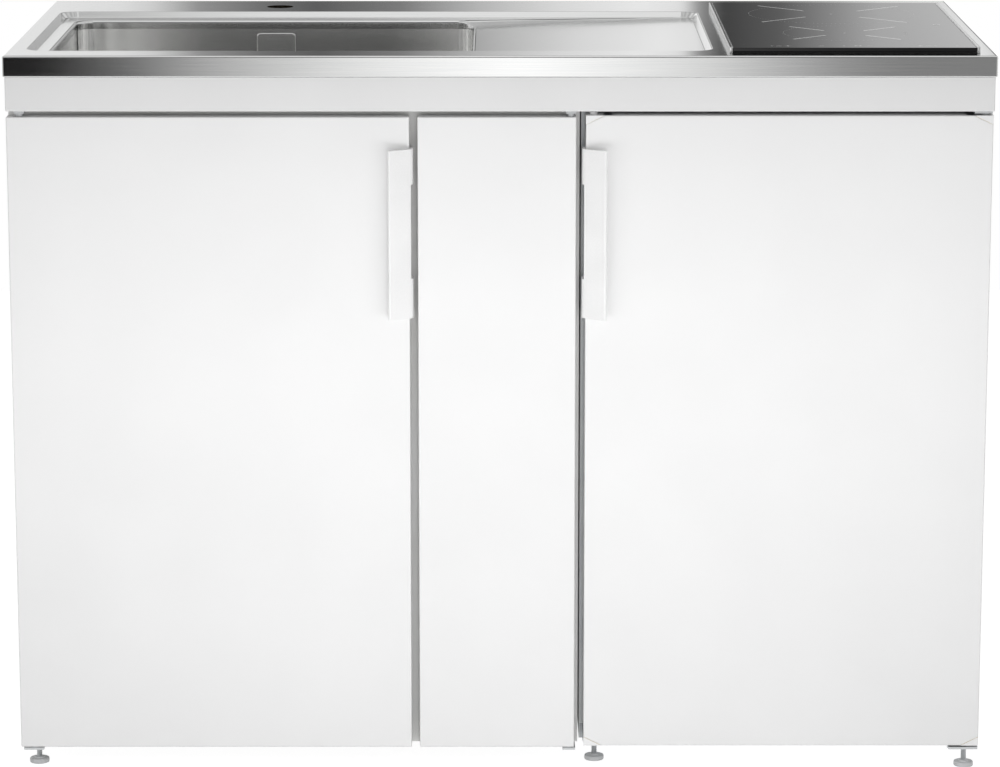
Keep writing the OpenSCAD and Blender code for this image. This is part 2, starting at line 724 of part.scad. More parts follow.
// The fridge door's brackets. The lower one runs back under the case and also holds a foot.
module fridge_hinges() color("gainsboro") {
    slab([fridge_pin[0] - 13, fridge_pin[0] + 9], [fridge_pin[1] - 11, fridge_d[0]],
        [fascia_z - plate_t, fascia_z]);
    top_pivot(fridge_pin, fridge_door_z[1]);
    difference() {
        slab([fridge_pin[0] - 27, fridge_door_x[1]], [fridge_pin[1] - 11, fridge_d[0] + 60],
            [base_z - plate_t, base_z]);
        post(foot_fridge_right_at, [0, base_z + past], stud_r + running);
    }
    bottom_pivot(fridge_pin, fridge_door_z[0]);
    // head of the screw that holds the bracket
    post([fridge_pin[0] - 20, fridge_pin[1] + 10], [base_z - plate_t - 4, base_z - overlap], 6.5);
}

// ---- Fridge ----

// The room that the liner and its step take, grown by g
module liner_room(g, front) {
    slab(grow(room_x, g), [front, step_d + g], grow(room_z, g));
    slab(grow(room_x, g), [front, room_far + g], [step_z - g, room_z[1] + g]);
}

module fridge_shell() color("white") difference() {
    union() {
        difference() {
            slab(fridge_x, fridge_d, [base_z, fascia_z]);
            slab(grow(fridge_x, -shell_t), [fridge_d[0] - past, fridge_d[1] - shell_t],
                [base_z - past, fascia_z - shell_t]);
        }
        slab(fridge_x, [niche_d - shell_t, fridge_d[1]], [niche_z, niche_z + shell_t]);
        slab(fridge_x, [niche_d - shell_t, niche_d], [foam_z, niche_z + shell_t]);
    }
    slab(grow(fridge_x, -shell_t), [niche_d, fridge_d[1] + past], [base_z - past, niche_z]);
}

module fridge_foam() color("khaki") difference() {
    slab(grow(fridge_x, -shell_t), [fridge_d[0] + liner_t, fridge_d[1] - shell_t],
        [foam_z, fascia_z - shell_t]);
    liner_room(liner_t, fridge_d[0] - past);
    slab(fridge_x, [niche_d - shell_t, fridge_d[1]], [base_z, niche_z + shell_t]);
}

module fridge_liner() color("white") {
    difference() {
        union() {
            liner_room(liner_t, fridge_d[0]);
            slab(grow(fridge_x, -shell_t), [fridge_d[0], fridge_d[0] + liner_t],
                [foam_z, fascia_z - shell_t]);
        }
        liner_room(0, fridge_d[0] - past);
    }
    for (z = shelf_z, x = [room_x[0], room_x[1] - ledge_w])
        slab([x, x + ledge_w], [shelf_front, room_far], [z - ledge_h, z]);
}

module glass_shelves() color("lightcyan")
    for (z = shelf_z)
        slab(grow(room_x, -2), [shelf_front + 2, room_far - 3], [z, z + glass_t]);

module crisper() color("lightblue") difference() {
    slab(crisper_x, crisper_d, crisper_z);
    slab(grow(crisper_x, -crisper_t), grow(crisper_d, -crisper_t),
        [crisper_z[0] + crisper_t, crisper_z[1] + past]);
    slab([crisper_x[0] + 120, crisper_x[1] - 120], [crisper_d[0] - past, crisper_d[0] + 3],
        [crisper_z[1] - 18, crisper_z[1] + past]);
}

module icebox() color("silver") {
    difference() {
        slab(icebox_x, icebox_d, icebox_z);
        slab(grow(icebox_x, -icebox_t), [icebox_d[0] - past, icebox_d[1] - icebox_t],
            grow(icebox_z, -icebox_t));
    }
    // ears that carry the flap's pins
    difference() {
        for (x = [icebox_x[0], icebox_x[1] - ear_t])
            slab([x, x + ear_t], [flap_pin[0] - 5, icebox_d[0] + 3],
                [flap_pin[1] - 6, icebox_z[1]]);
        at(icebox_x[0] - past, flap_pin[0], flap_pin[1]) rotate([0, 90, 0])
            cylinder(r = flap_pin_r + running, h = icebox_x[1] - icebox_x[0] + 2 * past);
    }
}

module icebox_flap() color("aliceblue") {
    flap_x = grow(icebox_x, -ear_t - seat);
    slab(flap_x, [flap_pin[0] - flap_t / 2, flap_pin[0] + flap_t / 2],
        [icebox_z[0] + 2, flap_pin[1] + 4]);
    slab([middle(flap_x) - 40, middle(flap_x) + 40],
        [flap_pin[0] - flap_t / 2 - 6, flap_pin[0] - flap_t / 2],
        [icebox_z[0] + 8, icebox_z[0] + 20]);
    for (x = [icebox_x[0] + seat, flap_x[1]])
        at(x, flap_pin[0], flap_pin[1]) rotate([0, 90, 0])
            cylinder(r = flap_pin_r, h = ear_t);
}

module thermostat_housing() color("white") difference() {
    slab(thermostat_x, thermostat_d, thermostat_z);
    at(middle(thermostat_x), thermostat_d[0] - past, middle(thermostat_z))
        rotate([-90, 0, 0]) cylinder(r = 3 + running, h = 12);
}

module thermostat_knob() color("gainsboro")
    at(middle(thermostat_x), thermostat_d[0] - seat - knob_l, middle(thermostat_z))
        rotate([-90, 0, 0]) {
            cylinder(r = knob_r, h = knob_l);
            cylinder(r = 3, h = knob_l + 10);
            translate([-1.5, -knob_r + 1, -1.5]) cube([3, 2 * knob_r - 2, 3]);
        }

module compressor() color("dimgray") {
    foot_z = base_z + tray_t;
    at(compressor_at[0], compressor_at[1], foot_z + 14) rotate_extrude()
        polygon(concat([[0, 0]], arc(compressor_r - 26, 30, 26, -50, 0),
            arc(compressor_r - 38, compressor_h - 38, 38, 0, 90), [[0, compressor_h]]));
    // stubs to the condenser and from the ice box
    at(compressor_at[0], compressor_at[1], line_z) rotate([-90, 0, 0])
        cylinder(r = 5, h = stub_d - compressor_at[1]);
    post(compressor_at, [foot_z + 14 + compressor_h - overlap, niche_z], 4);
    for (x = [-50, 50], d = [-50, 50])
        post([compressor_at[0] + x, compressor_at[1] + d], [foot_z, foot_z + 12], 9);
    slab([compressor_at[0] - 62, compressor_at[0] + 62],
        [compressor_at[1] - 58, compressor_at[1] + 58], [foot_z + 12, foot_z + 15]);
}

module compressor_tray() color("darkgray") difference() {
    union() {
        slab(grow(fridge_x, -shell_t), fridge_d, [base_z, base_z + tray_t]);
        slab(grow(fridge_x, -shell_t), [fridge_d[0], fridge_d[0] + tray_t], [base_z, foam_z]);
        for (x = [fridge_x[0] + 30, fridge_x[1] - 30])
            post([x, fridge_d[1] - 30], [0, base_z + 1], foot_r);
    }
    post(foot_fridge_left_at, [base_z - past, base_z + tray_t + past], stud_r + stud_clear);
}

// A quarter bend of the condenser's pipe about a centre. tilt is 90 for a bend in an upright plane
// along X, and turn is the angle at which the quarter starts.
module elbow(x, d, z, tilt, turn) at(x, d, z) rotate([tilt, 0, 0]) rotate(turn)
    rotate_extrude(angle = 90) translate([bend_r, 0]) circle(condenser_r);

// A snake of pipe behind the fridge, with upright wires in front of it and clips to the shell.
// Its low end runs down and across to the compressor, its high end into the fridge's back.
module condenser() color("black") {
    run_x = [fridge_x[0] + 50, fridge_x[1] - 50];
    z0 = niche_z + 30;
    pitch = floor(10 * (fascia_z - 40 - z0) / (condenser_runs - 1)) / 10; // in whole tenths
    z_top = z0 + (condenser_runs - 1) * pitch;
    wires = 9;
    wire_pitch = (run_x[1] - run_x[0] - 40) / (wires - 1);
    elbow(run_x[0], pipe_d, z0 - bend_r, 90, 90);
    post([run_x[0] - bend_r, pipe_d], [line_z + bend_r, z0 - bend_r], condenser_r);
    elbow(run_x[0], pipe_d, line_z + bend_r, 90, 180);
    at(run_x[0], pipe_d, line_z) rotate([0, 90, 0])
        cylinder(r = condenser_r, h = compressor_at[0] - bend_r - run_x[0]);
    elbow(compressor_at[0] - bend_r, pipe_d - bend_r, line_z, 0, 0);
    at(compressor_at[0], stub_d, line_z) rotate([-90, 0, 0])
        cylinder(r = condenser_r, h = pipe_d - bend_r - stub_d);
    elbow(run_x[0], pipe_d - bend_r, z_top, 0, 90);
    at(run_x[0] - bend_r, fridge_d[1], z_top) rotate([-90, 0, 0])
        cylinder(r = condenser_r, h = pipe_d - bend_r - fridge_d[1]);
    for (i = [0:condenser_runs - 1])
        at(run_x[0], pipe_d, z0 + i * pitch) rotate([0, 90, 0])
            cylinder(r = condenser_r, h = run_x[1] - run_x[0]);
    for (i = [0:condenser_runs - 2]) {
        right = i % 2 == 0;
        at(right ? run_x[1] : run_x[0], pipe_d, z0 + (i + 0.5) * pitch) rotate([90, 0, 0])
            rotate([0, 0, right ? -90 : 90]) rotate_extrude(angle = 180)
                translate([pitch / 2, 0]) circle(condenser_r);
    }
    for (i = [0:wires - 1])
        post([run_x[0] + 20 + i * wire_pitch, pipe_d - condenser_r - wire_r - wire_gap],
            [z0 - 8, z_top + 8], wire_r);
    for (i = [1.5, wires - 2.5], z = [z0 + pitch, z_top - pitch]) {
        x = run_x[0] + 20 + i * wire_pitch;
        slab([x - 5, x + 5], [fridge_d[1], pipe_d - 1], [z - 4, z + 4]);
    }
}

// ---- Fridge door ----

// A plastic corner of the fridge door: a wedge that shows in front and a block that holds the pin.
// sx and sz are 1 where the corner points to +X or up.
module corner_wedge(x, z, sx, sz) at(x, door_d, z) rotate([90, 0, 0])
    translate([0, 0, -fridge_door_t]) linear_extrude(fridge_door_t)
        polygon([[0, 0], [-sx * cap_w, 0], [0, -sz * cap_h]]);

module corner_body(x, z, sx, sz) {
    corner_wedge(x, z, sx, sz);
    slab([min(x, x - sx * cap_block[0]), max(x, x - sx * cap_block[0])],
        [door_d + 3, door_d + fridge_door_t - liner_t],
        [min(z, z - sz * cap_block[1]), max(z, z - sz * cap_block[1])]);
}

module each_corner() {
    for (i = [0, 1], k = [0, 1]) {
        $sx = 2 * i - 1;
        $sz = 2 * k - 1;
        $cx = fridge_door_x[i];
        $cz = fridge_door_z[k];
        children();
    }
}

module door_corner_caps() color("white") {
    difference() {
        each_corner() corner_body($cx, $cz, $sx, $sz);
        pin_holes(fridge_pin, fridge_door_z, pin_r + running);
        pin_holes(spare_pin, fridge_door_z, pin_r + running);
    }
    // plug in the spare hinge hole
    post(spare_pin, [fridge_door_z[1], fridge_door_z[1] + 3], collar_r);
}

module fridge_door_skin() color("white") difference() {
    door_pan(fridge_door_x, fridge_door_t, fridge_door_z);
    each_corner() corner_body($cx, $cz, $sx, $sz);
    slab(fridge_door_x, [door_d + fridge_door_t - liner_t, door_d + fridge_door_t + past],
        fridge_door_z);
}

module fridge_door_foam() color("khaki") difference() {
    slab(grow(fridge_door_x, -skin_t), [door_d + skin_t, door_d + fridge_door_t - liner_t],
        grow(fridge_door_z, -skin_t));
    each_corner() corner_body($cx, $cz, $sx, $sz);
}

module fridge_door_liner() color("white") {
    face = door_d + fridge_door_t;
    difference() {
        slab(fridge_door_x, [face - liner_t, face], fridge_door_z);
        each_corner() corner_wedge($cx, $cz, $sx, $sz);
    }
    for (x = [rib_x[0], rib_x[1] - rib_t])
        slab([x, x + rib_t], [face - 0.5, rib_far], [bin_floor[0] - 12, bin_floor[2] + bin_h[2]]);
    // pegs under each rack
    for (z = bin_floor, x = [rib_x[0] + rib_t, rib_x[1] - rib_t - 5])
        slab([x, x + 5], [face - 0.5, rib_far], [z - 6, z]);
}

module door_gasket() color("gainsboro") {
    face = door_d + fridge_door_t;
    seal_x = [fridge_door_x[0] + 8, fridge_pin[0] - 0.5];
    seal_z = [foam_z + 4, fridge_door_z[1] - 8];
    difference() {
        slab(seal_x, [face, face + seal_t], seal_z);
        slab(grow(seal_x, -14), [face - past, face + seal_t + past], grow(seal_z, -14));
    }
}

module door_bins() color("lightcyan")
    for (i = [0:2]) {
        z = [bin_floor[i], bin_floor[i] + bin_h[i]];
        x = grow(rib_x, -rib_t - seat);
        difference() {
            slab(x, bin_d, z);
            slab(grow(x, -bin_t), grow(bin_d, -bin_t), [z[0] + bin_t, z[1] + past]);
        }
    }

// ---- Feet ----

module foot(p, top) {
    post(p, [0, foot_h], foot_r);
    post(p, [foot_h - 1, top], stud_r);
}

// The nut plates that the feet screw into, where no hinge plate does that
module foot_sockets() color("silver")
    for (p = [foot_left_rear_at, foot_middle_front_at, foot_middle_rear_at, foot_fridge_left_at])
        difference() {
            slab([p[0] - 15, p[0] + 15], [p[1] - 15, p[1] + 15], [base_z - plate_t, base_z]);
            post(p, [0, base_z + past], stud_r + running);
        }

module foot_left_front() color("darkgray") foot(foot_left_front_at, stud_top);
module foot_left_rear() color("darkgray") foot(foot_left_rear_at, stud_top);
module foot_middle_front() color("darkgray") foot(foot_middle_front_at, stud_top);
module foot_middle_rear() color("darkgray") foot(foot_middle_rear_at, stud_top);
module foot_fridge_left() color("darkgray") foot(foot_fridge_left_at, stud_top);
module foot_fridge_right() color("darkgray") foot(foot_fridge_right_at, base_z + overlap);

worktop();
worktop_core();
sink_bowl();
overflow_cover();
overflow_pipe();
waste_flange();
strainer_basket();
waste_body();
bottle_trap();
outlet_pipe();
hob_glass();
hob_side_trims();
hob_gasket();
hob_casing();
induction_coils();
hob_power_board();
hob_fan();
fascia_rail();
top_frame();
side_panel_left();
divider_panel();
side_panel_middle();
bottom_panel();
back_panel();
top_stretchers();
middle_shelves();
left_door_skin();
left_door_core();
left_door_handle();
middle_door_skin();
middle_door_core();
magnet_catches();
cabinet_hinges();
fridge_hinges();
fridge_shell();
fridge_foam();
fridge_liner();
condenser();
compressor();
compressor_tray();
icebox();
icebox_flap();
glass_shelves();
crisper();
thermostat_housing();
thermostat_knob();
fridge_door_skin();
fridge_door_foam();
fridge_door_liner();
door_gasket();
door_bins();
door_corner_caps();
fridge_door_handle();
foot_sockets();
foot_left_front();
foot_left_rear();
foot_middle_front();
foot_middle_rear();
foot_fridge_left();
foot_fridge_right();
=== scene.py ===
"""Looks of a kitchenette unit: stainless worktop with sink and hob, cupboards and a fridge.

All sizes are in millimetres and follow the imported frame. A place is given as (x, depth, height),
where depth is measured back from the worktop's front edge. Meshes are turned to metres once, when a
piece is finished.
"""

import logging
import math
from dataclasses import dataclass, field
from enum import Enum
from typing import Iterable, Optional, Sequence, Union

import bmesh
import bpy
from mathutils import Matrix, Vector


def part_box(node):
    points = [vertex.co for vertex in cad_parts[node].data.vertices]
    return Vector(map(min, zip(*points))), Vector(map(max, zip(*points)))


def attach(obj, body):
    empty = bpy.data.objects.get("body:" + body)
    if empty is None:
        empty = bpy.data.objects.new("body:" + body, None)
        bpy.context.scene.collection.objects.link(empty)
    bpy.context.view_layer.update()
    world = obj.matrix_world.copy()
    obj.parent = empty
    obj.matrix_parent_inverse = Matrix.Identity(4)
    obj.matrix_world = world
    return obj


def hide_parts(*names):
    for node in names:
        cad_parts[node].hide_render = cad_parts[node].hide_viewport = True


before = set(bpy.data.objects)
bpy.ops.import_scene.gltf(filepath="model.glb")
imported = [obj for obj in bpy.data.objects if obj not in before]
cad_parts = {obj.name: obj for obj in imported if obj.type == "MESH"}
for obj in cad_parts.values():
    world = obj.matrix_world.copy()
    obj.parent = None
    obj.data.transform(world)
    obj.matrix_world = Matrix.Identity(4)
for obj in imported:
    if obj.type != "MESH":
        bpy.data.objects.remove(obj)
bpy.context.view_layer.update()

LOG = logging.getLogger("kitchenette")
Span = tuple[float, float]
Triple = tuple[float, float, float]
Colour = tuple[float, float, float, float]
Verts = list[bmesh.types.BMVert]
Edges = list[bmesh.types.BMEdge]
Faces = list[bmesh.types.BMFace]
Tree = bpy.types.NodeTree
Node = bpy.types.Node
Socket = bpy.types.NodeSocket
Value = Union[float, int, tuple, Node, Socket]

METRE = 1000.0  # millimetres in a metre
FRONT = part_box("worktop")[0].y * METRE
QUARTER = tuple(math.radians(22.5 * k) for k in range(5))
TONE_SPAN: Span = (0.35, 0.65)  # pattern values between which the tones change
ROUGH_SPAN: Span = (0.3, 0.7)  # pattern values between which the roughness changes
SHARP_ANGLE = 30.0  # degrees, above which an edge is rounded
WHITE: Colour = (1.0, 1.0, 1.0, 1.0)


def linear(hex_colour: str) -> Colour:
    """Turns an sRGB hex colour into linear RGBA.

    Args:
        hex_colour: Colour such as "#c8c8c4".

    Returns:
        The four linear values, alpha 1.
    """
    values = [int(hex_colour[i : i + 2], 16) / 255.0 for i in (1, 3, 5)]
    turned = [v / 12.92 if v <= 0.04045 else ((v + 0.055) / 1.055) ** 2.4 for v in values]
    return (turned[0], turned[1], turned[2], 1.0)


def grey(value: float) -> Colour:
    """Returns a linear grey."""
    return (value, value, value, 1.0)


def add_node(
    tree: Tree, kind: str, inputs: Optional[dict[Union[str, int], Value]] = None, **settings: object
) -> Node:
    """Adds a shader node, sets its properties and fills or links its inputs.

    Args:
        tree: Node tree to add to.
        kind: Node type without the "ShaderNode" start.
        inputs: Input name or number, with a constant, another node or one of its outputs.
        settings: Properties of the node.

    Returns:
        The new node.
    """
    made = tree.nodes.new("ShaderNode" + kind)
    for name, value in settings.items():
        setattr(made, name, value)
    for name, value in (inputs or {}).items():
        if isinstance(value, Node):
            value = next(output for output in value.outputs if output.enabled)
        if isinstance(value, Socket):
            tree.links.new(value, made.inputs[name])
        else:
            made.inputs[name].default_value = value
    return made


class Grain(Enum):
    """Direction in which a sheet was brushed: how its lines are drawn out along X, Y and Z."""

    ACROSS = (0.004, 1.0, 1.0)
    ALONG = (1.0, 0.004, 1.0)
    ROUND = (0.01, 0.01, 1.0)


@dataclass(frozen=True)
class Surface:
    """A material in the making: its nodes, its shader, its coordinates and its roughness."""

    tree: Tree
    shader: Node
    place: Socket
    roughness: float

    def set(self, name: str, value: float) -> None:
        """Sets a plain value on the shader's own socket."""
        self.shader.inputs[name].default_value = value

    def grains(
        self, size_mm: float, stretch: Triple = (1.0, 1.0, 1.0), detail: float = 2.0
    ) -> Socket:
        """Makes an uneven pattern whose grains have a real size.

        Args:
            size_mm: Distance from grain to grain.
            stretch: Factor on the frequency along X, Y and Z.
            detail: Octaves of the noise.

        Returns:
            The pattern's value.
        """
        drawn = add_node(self.tree, "Mapping", {"Vector": self.place, "Scale": stretch})
        inputs = {"Vector": drawn, "Scale": METRE / size_mm, "Detail": detail}
        return add_node(self.tree, "TexNoise", inputs).outputs[0]

    def follow(
        self,
        pattern: Socket,
        tones: Optional[tuple[str, str]] = None,
        span: Span = TONE_SPAN,
        uneven: float = 0.0,
        relief: Optional[Span] = None,
    ) -> None:
        """Makes the surface's tones, roughness and relief follow a pattern.

        Args:
            pattern: The pattern's value.
            tones: Hex colours at the pattern's low and high end.
            span: Pattern values between which the tones change.
            uneven: How far the roughness goes up and down.
            relief: Height in millimetres, and the share of it that shows.
        """
        if tones:
            ramp = add_node(self.tree, "ValToRGB", {"Fac": pattern})
            for element, at, tone in zip(ramp.color_ramp.elements, span, tones):
                element.position, element.color = at, linear(tone)
            self.tree.links.new(ramp.outputs["Color"], self.shader.inputs["Base Color"])
        if uneven:
            inputs = {
                "Value": pattern,
                "From Min": ROUGH_SPAN[0],
                "From Max": ROUGH_SPAN[1],
                "To Min": self.roughness - uneven,
                "To Max": self.roughness + uneven,
            }
            ranged = add_node(self.tree, "MapRange", inputs)
            self.tree.links.new(ranged.outputs[0], self.shader.inputs["Roughness"])
        if relief:
            inputs = {"Height": pattern, "Distance": relief[0] / METRE, "Strength": relief[1]}
            raised = add_node(self.tree, "Bump", inputs)
            self.tree.links.new(raised.outputs["Normal"], self.shader.inputs["Normal"])


@dataclass(frozen=True)
class Finish:
    """A material that starts from a real one. Each kind adds its own patterns."""

    name: str
    colour: str = "#ffffff"
    roughness: float = 0.5

    def material(self) -> bpy.types.Material:
        """Returns the Blender material, made on first use."""
        known = bpy.data.materials.get(self.name)
        if known is not None:
            return known
        made = bpy.data.materials.new(self.name)
        made.use_nodes = True
        tree = made.node_tree
        tree.nodes.clear()
        plain = {"Base Color": linear(self.colour), "Roughness": self.roughness}
        shader = add_node(tree, "BsdfPrincipled", plain)
        add_node(tree, "OutputMaterial", {"Surface": shader})
        place = add_node(tree, "TexCoord").outputs["Object"]
        self.dress(Surface(tree, shader, place, self.roughness))
        return made

    def dress(self, surface: Surface) -> None:
        """Adds the finish's own patterns; the plain finish has none."""


@dataclass(frozen=True)
class BrushedSteel(Finish):
    """Austenitic stainless sheet, belt-brushed: fine lines one way that soften reflections.

    The lines are drawn several times as coarse as real ones, so that they show.
    """

    grain: Grain = Grain.ACROSS
    line_mm: float = 0.4
    shade: str = "#d2d3d3"
    spread: float = 0.9
    spread_way: Triple = (0.0, 1.0, 0.02)

    def dress(self, surface: Surface) -> None:
        """Adds the brush lines, and spreads reflections across them.

        Args:
            surface: The material in the making.
        """
        surface.set("Metallic", 1.0)
        surface.set("Anisotropic", self.spread)
        way = add_node(surface.tree, "CombineXYZ", dict(enumerate(self.spread_way)))
        surface.tree.links.new(way.outputs[0], surface.shader.inputs["Tangent"])
        lines = surface.grains(self.line_mm, self.grain.value)
        surface.follow(lines, (self.shade, self.colour), uneven=0.012, relief=(0.001, 0.15))


@dataclass(frozen=True)
class PaintedSheenSteel(BrushedSteel):
    """Deep-drawn stainless satin with a painted sheen: its colour brightens towards the bowl's ends
    to stand in for the reflections in its corners.
    """

    middle_x: float = -270.0
    half: float = 258.5
    sheen_ramp: Span = (0.46, 0.9)
    polished: str = "#fdfdfc"

    def dress(self, surface: Surface) -> None:
        """Adds the painted sheen: a brighter colour towards both ends of the bowl.

        Args:
            surface: The material in the making.
        """
        super().dress(surface)
        tree = surface.tree
        across = add_node(tree, "SeparateXYZ", {0: surface.place}).outputs["X"]
        off = add_node(tree, "Math", {0: across, 1: self.middle_x / METRE}, operation="SUBTRACT")
        away = add_node(tree, "Math", {0: off}, operation="ABSOLUTE")
        # Painted sheen: away from the middle of the bowl, the colour brightens towards each end,
        # where the corners would reflect light.
        low, high = (share * self.half / METRE for share in self.sheen_ramp)
        share = add_node(tree, "MapRange", {"Value": away, "From Min": low, "From Max": high})
        colour = surface.shader.inputs["Base Color"]
        tones = {"Factor": share, 6: colour.links[0].from_socket, 7: linear(self.polished)}
        both = add_node(tree, "Mix", tones, data_type="RGBA")
        tree.links.new(both.outputs[2], colour)


@dataclass(frozen=True)
class Grained(Finish):
    """A finish with a broad change of tone and fine grains in its polish and relief."""

    shade: Optional[str] = None
    broad_mm: float = 100.0
    grain_mm: float = 1.0
    detail: float = 1.0
    uneven: float = 0.05
    relief: Span = (0.01, 0.5)
    ior: float = 1.5

    def dress(self, surface: Surface) -> None:
        """Adds the change of tone, if there is a shade, and the grains.

        Args:
            surface: The material in the making.
        """
        surface.set("IOR", self.ior)
        if self.shade:
            broad = surface.grains(self.broad_mm, detail=1.0)
            surface.follow(broad, (self.shade, self.colour))
        grains = surface.grains(self.grain_mm, detail=self.detail)
        surface.follow(grains, uneven=self.uneven, relief=self.relief)


@dataclass(frozen=True)
class PowderCoat(Grained):
    """Steel sheet with baked powder paint: an even white with a faint orange peel."""

    shade: Optional[str] = "#ececec"
    broad_mm: float = 140.0
    grain_mm: float = 2.2
    detail: float = 1.5
    uneven: float = 0.03
    relief: Span = (0.02, 0.5)


@dataclass(frozen=True)
class MouldedPlastic(Grained):
    """Injection-moulded or vacuum-formed ABS or polystyrene: smooth with a fine spark texture.

    The texture is drawn several times as coarse as a real one, so that it shows.
    """

    shade: Optional[str] = "#e6e7e7"
    broad_mm: float = 60.0
    grain_mm: float = 0.8
    uneven: float = 0.04
    relief: Span = (0.006, 0.4)
    ior: float = 1.53


@dataclass(frozen=True)
class ClearSheet(Finish):
    """Clear polystyrene or float glass: see-through, with a tinted body."""

    ior: float = 1.5
    clearness: float = 0.9
    broad_mm: float = 90.0

    def dress(self, surface: Surface) -> None:
        """Makes the body clear and its surface very slightly uneven.

        Args:
            surface: The material in the making.
        """
        surface.set("IOR", self.ior)
        surface.set("Transmission Weight", self.clearness)
        surface.follow(surface.grains(self.broad_mm, detail=0.0), uneven=0.01)


@dataclass(frozen=True)
class CeramicGlass(Finish):
    """Black glass ceramic of a hob: polished, with a dark mirror surface."""

    shade: str = "#08080a"
    broad_mm: float = 30.0

    def dress(self, surface: Surface) -> None:
        """Adds a faint unevenness of the polish."""
        surface.set("IOR", 1.52)
        surface.follow(surface.grains(self.broad_mm), (self.shade, self.colour), uneven=0.015)


@dataclass(frozen=True)
class ScreenPrint(Finish):
    """Fired grey screen print on the hob's glass, fading towards a zone's centre."""

    centre: Triple = (0.0, 0.0, 0.0)
    fade: Span = (40.0, 120.0)
    faint: str = "#1d1d1e"

    def dress(self, surface: Surface) -> None:
        """Fades the print by its distance from a centre.

        Args:
            surface: The material in the making.
        """
        places = {0: surface.place, 1: tuple(v / METRE for v in self.centre)}
        away = add_node(surface.tree, "VectorMath", places, operation="DISTANCE")
        low, high = (v / METRE for v in self.fade)
        reach = {"Value": away.outputs["Value"], "From Min": low, "From Max": high}
        far = add_node(surface.tree, "MapRange", reach)
        surface.follow(far.outputs[0], (self.faint, self.colour), (0.0, 1.0))


@dataclass(frozen=True)
class CoatedBoard(Grained):
    """Chipboard with a white melamine face: even, pressed with a slight pearl texture."""

    shade: Optional[str] = "#eeeeec"
    broad_mm: float = 200.0
    grain_mm: float = 1.6
    detail: float = 2.0
    relief: Span = (0.02, 0.5)


@dataclass(frozen=True)
class Celled(Finish):
    """A finish whose tone follows small cells, each about one size."""

    cell_mm: float = 5.0
    shade: str = "#4a4034"
    span: Span = (0.1, 0.8)
    uneven: float = 0.0
    relief: Optional[Span] = None
    metallic: float = 0.0
    measure: str = "EUCLIDEAN"

    def dress(self, surface: Surface) -> None:
        """Adds the cells.

        Args:
            surface: The material in the making.
        """
        surface.set("Metallic", self.metallic)
        inputs = {"Vector": surface.place, "Scale": METRE / self.cell_mm}
        cells = add_node(surface.tree, "TexVoronoi", inputs, distance=self.measure)
        tones = (self.shade, self.colour)
        surface.follow(cells.outputs["Distance"], tones, self.span, self.uneven, self.relief)


@dataclass(frozen=True)
class RawBoard(Celled):
    """Raw chipboard: pressed flakes of several browns."""

    relief: Optional[Span] = (0.15, 0.6)


@dataclass(frozen=True)
class PlatedSteel(Celled):
    """Bright zinc plate or galvanised sheet: grey metal with large soft crystals."""

    cell_mm: float = 9.0
    shade: str = "#9a9c9e"
    span: Span = (0.0, 0.9)
    uneven: float = 0.06
    metallic: float = 1.0


@dataclass(frozen=True)
class CircuitBoard(Celled):
    """Lacquered glass-fibre board: square copper tracks under green resist."""

    cell_mm: float = 6.0
    shade: str = "#0c3a20"
    span: Span = (0.3, 0.45)
    measure: str = "MANHATTAN"


@dataclass(frozen=True)
class Foam(Celled):
    """Sprayed polyurethane foam: yellow, with closed cells, drawn coarse so that they show."""

    cell_mm: float = 2.5
    shade: str = "#b59b5e"
    span: Span = (0.0, 0.7)
    relief: Optional[Span] = (0.5, 0.8)


@dataclass(frozen=True)
class Rubber(Grained):
    """Soft PVC or EPDM: matt with a fine tooth, drawn coarse so that it shows."""

    grain_mm: float = 0.7


@dataclass(frozen=True)
class WoundCopper(Finish):
    """Litz wire laid in a flat spiral: fine copper strands, dark between them."""

    shade: str = "#7a3c1f"
    strand_mm: float = 2.4

    def dress(self, surface: Surface) -> None:
        """Adds the strands."""
        surface.set("Metallic", 1.0)
        strands = surface.grains(self.strand_mm, detail=3.0)
        surface.follow(strands, (self.shade, self.colour), relief=(0.2, 0.8))


@dataclass(frozen=True)
class RollBond(Finish):
    """Two aluminium sheets rolled together with blown channels: the ice box's cold walls."""

    channel_mm: float = 36.0
    half_waves: float = 6.28  # about what the wave texture has in a metre at a scale of 1
    grain_mm: float = 4.0

    def dress(self, surface: Surface) -> None:
        """Adds the blown channels as broad waves, and the roll's fine unevenness.

        Args:
            surface: The material in the making.
        """
        surface.set("Metallic", 1.0)
        inputs = {
            "Vector": surface.place,
            "Scale": METRE / self.channel_mm / self.half_waves,
            "Distortion": 1.2,
            "Detail": 0.0,
        }
        channels = add_node(surface.tree, "TexWave", inputs, bands_direction="X")
        surface.follow(channels.outputs["Fac"], relief=(1.6, 0.7))
        surface.follow(surface.grains(self.grain_mm), uneven=0.06)


@dataclass(frozen=True)
class Enamel(Grained):
    """Black stove enamel on steel: glossy with a light peel."""

    grain_mm: float = 5.0
    detail: float = 2.0
    relief: Span = (0.05, 0.5)


SHEET_STEEL = BrushedSteel("stainless_brushed_across", "#dadad9", 0.09)
# The bowl's colour holds a painted sheen at its ends, standing in for the reflections in its
# corners.
BOWL_STEEL = PaintedSheenSteel(
    "stainless_satin_bowl_painted_sheen", "#d3d3d2", 0.18, Grain.ROUND, line_mm=0.6, shade="#cfcfce",
    spread=0.97, spread_way=(0.0, 0.02, 1.0),
)
PLATE_STEEL = BrushedSteel(
    "stainless_plate", "#e6e6e5", 0.18, Grain.ROUND, line_mm=0.8, shade="#e2e2e1"
)
WHITE_SHEET = PowderCoat("white_powder_coat", "#f2f2f2", 0.42, shade="#f0f0f0")
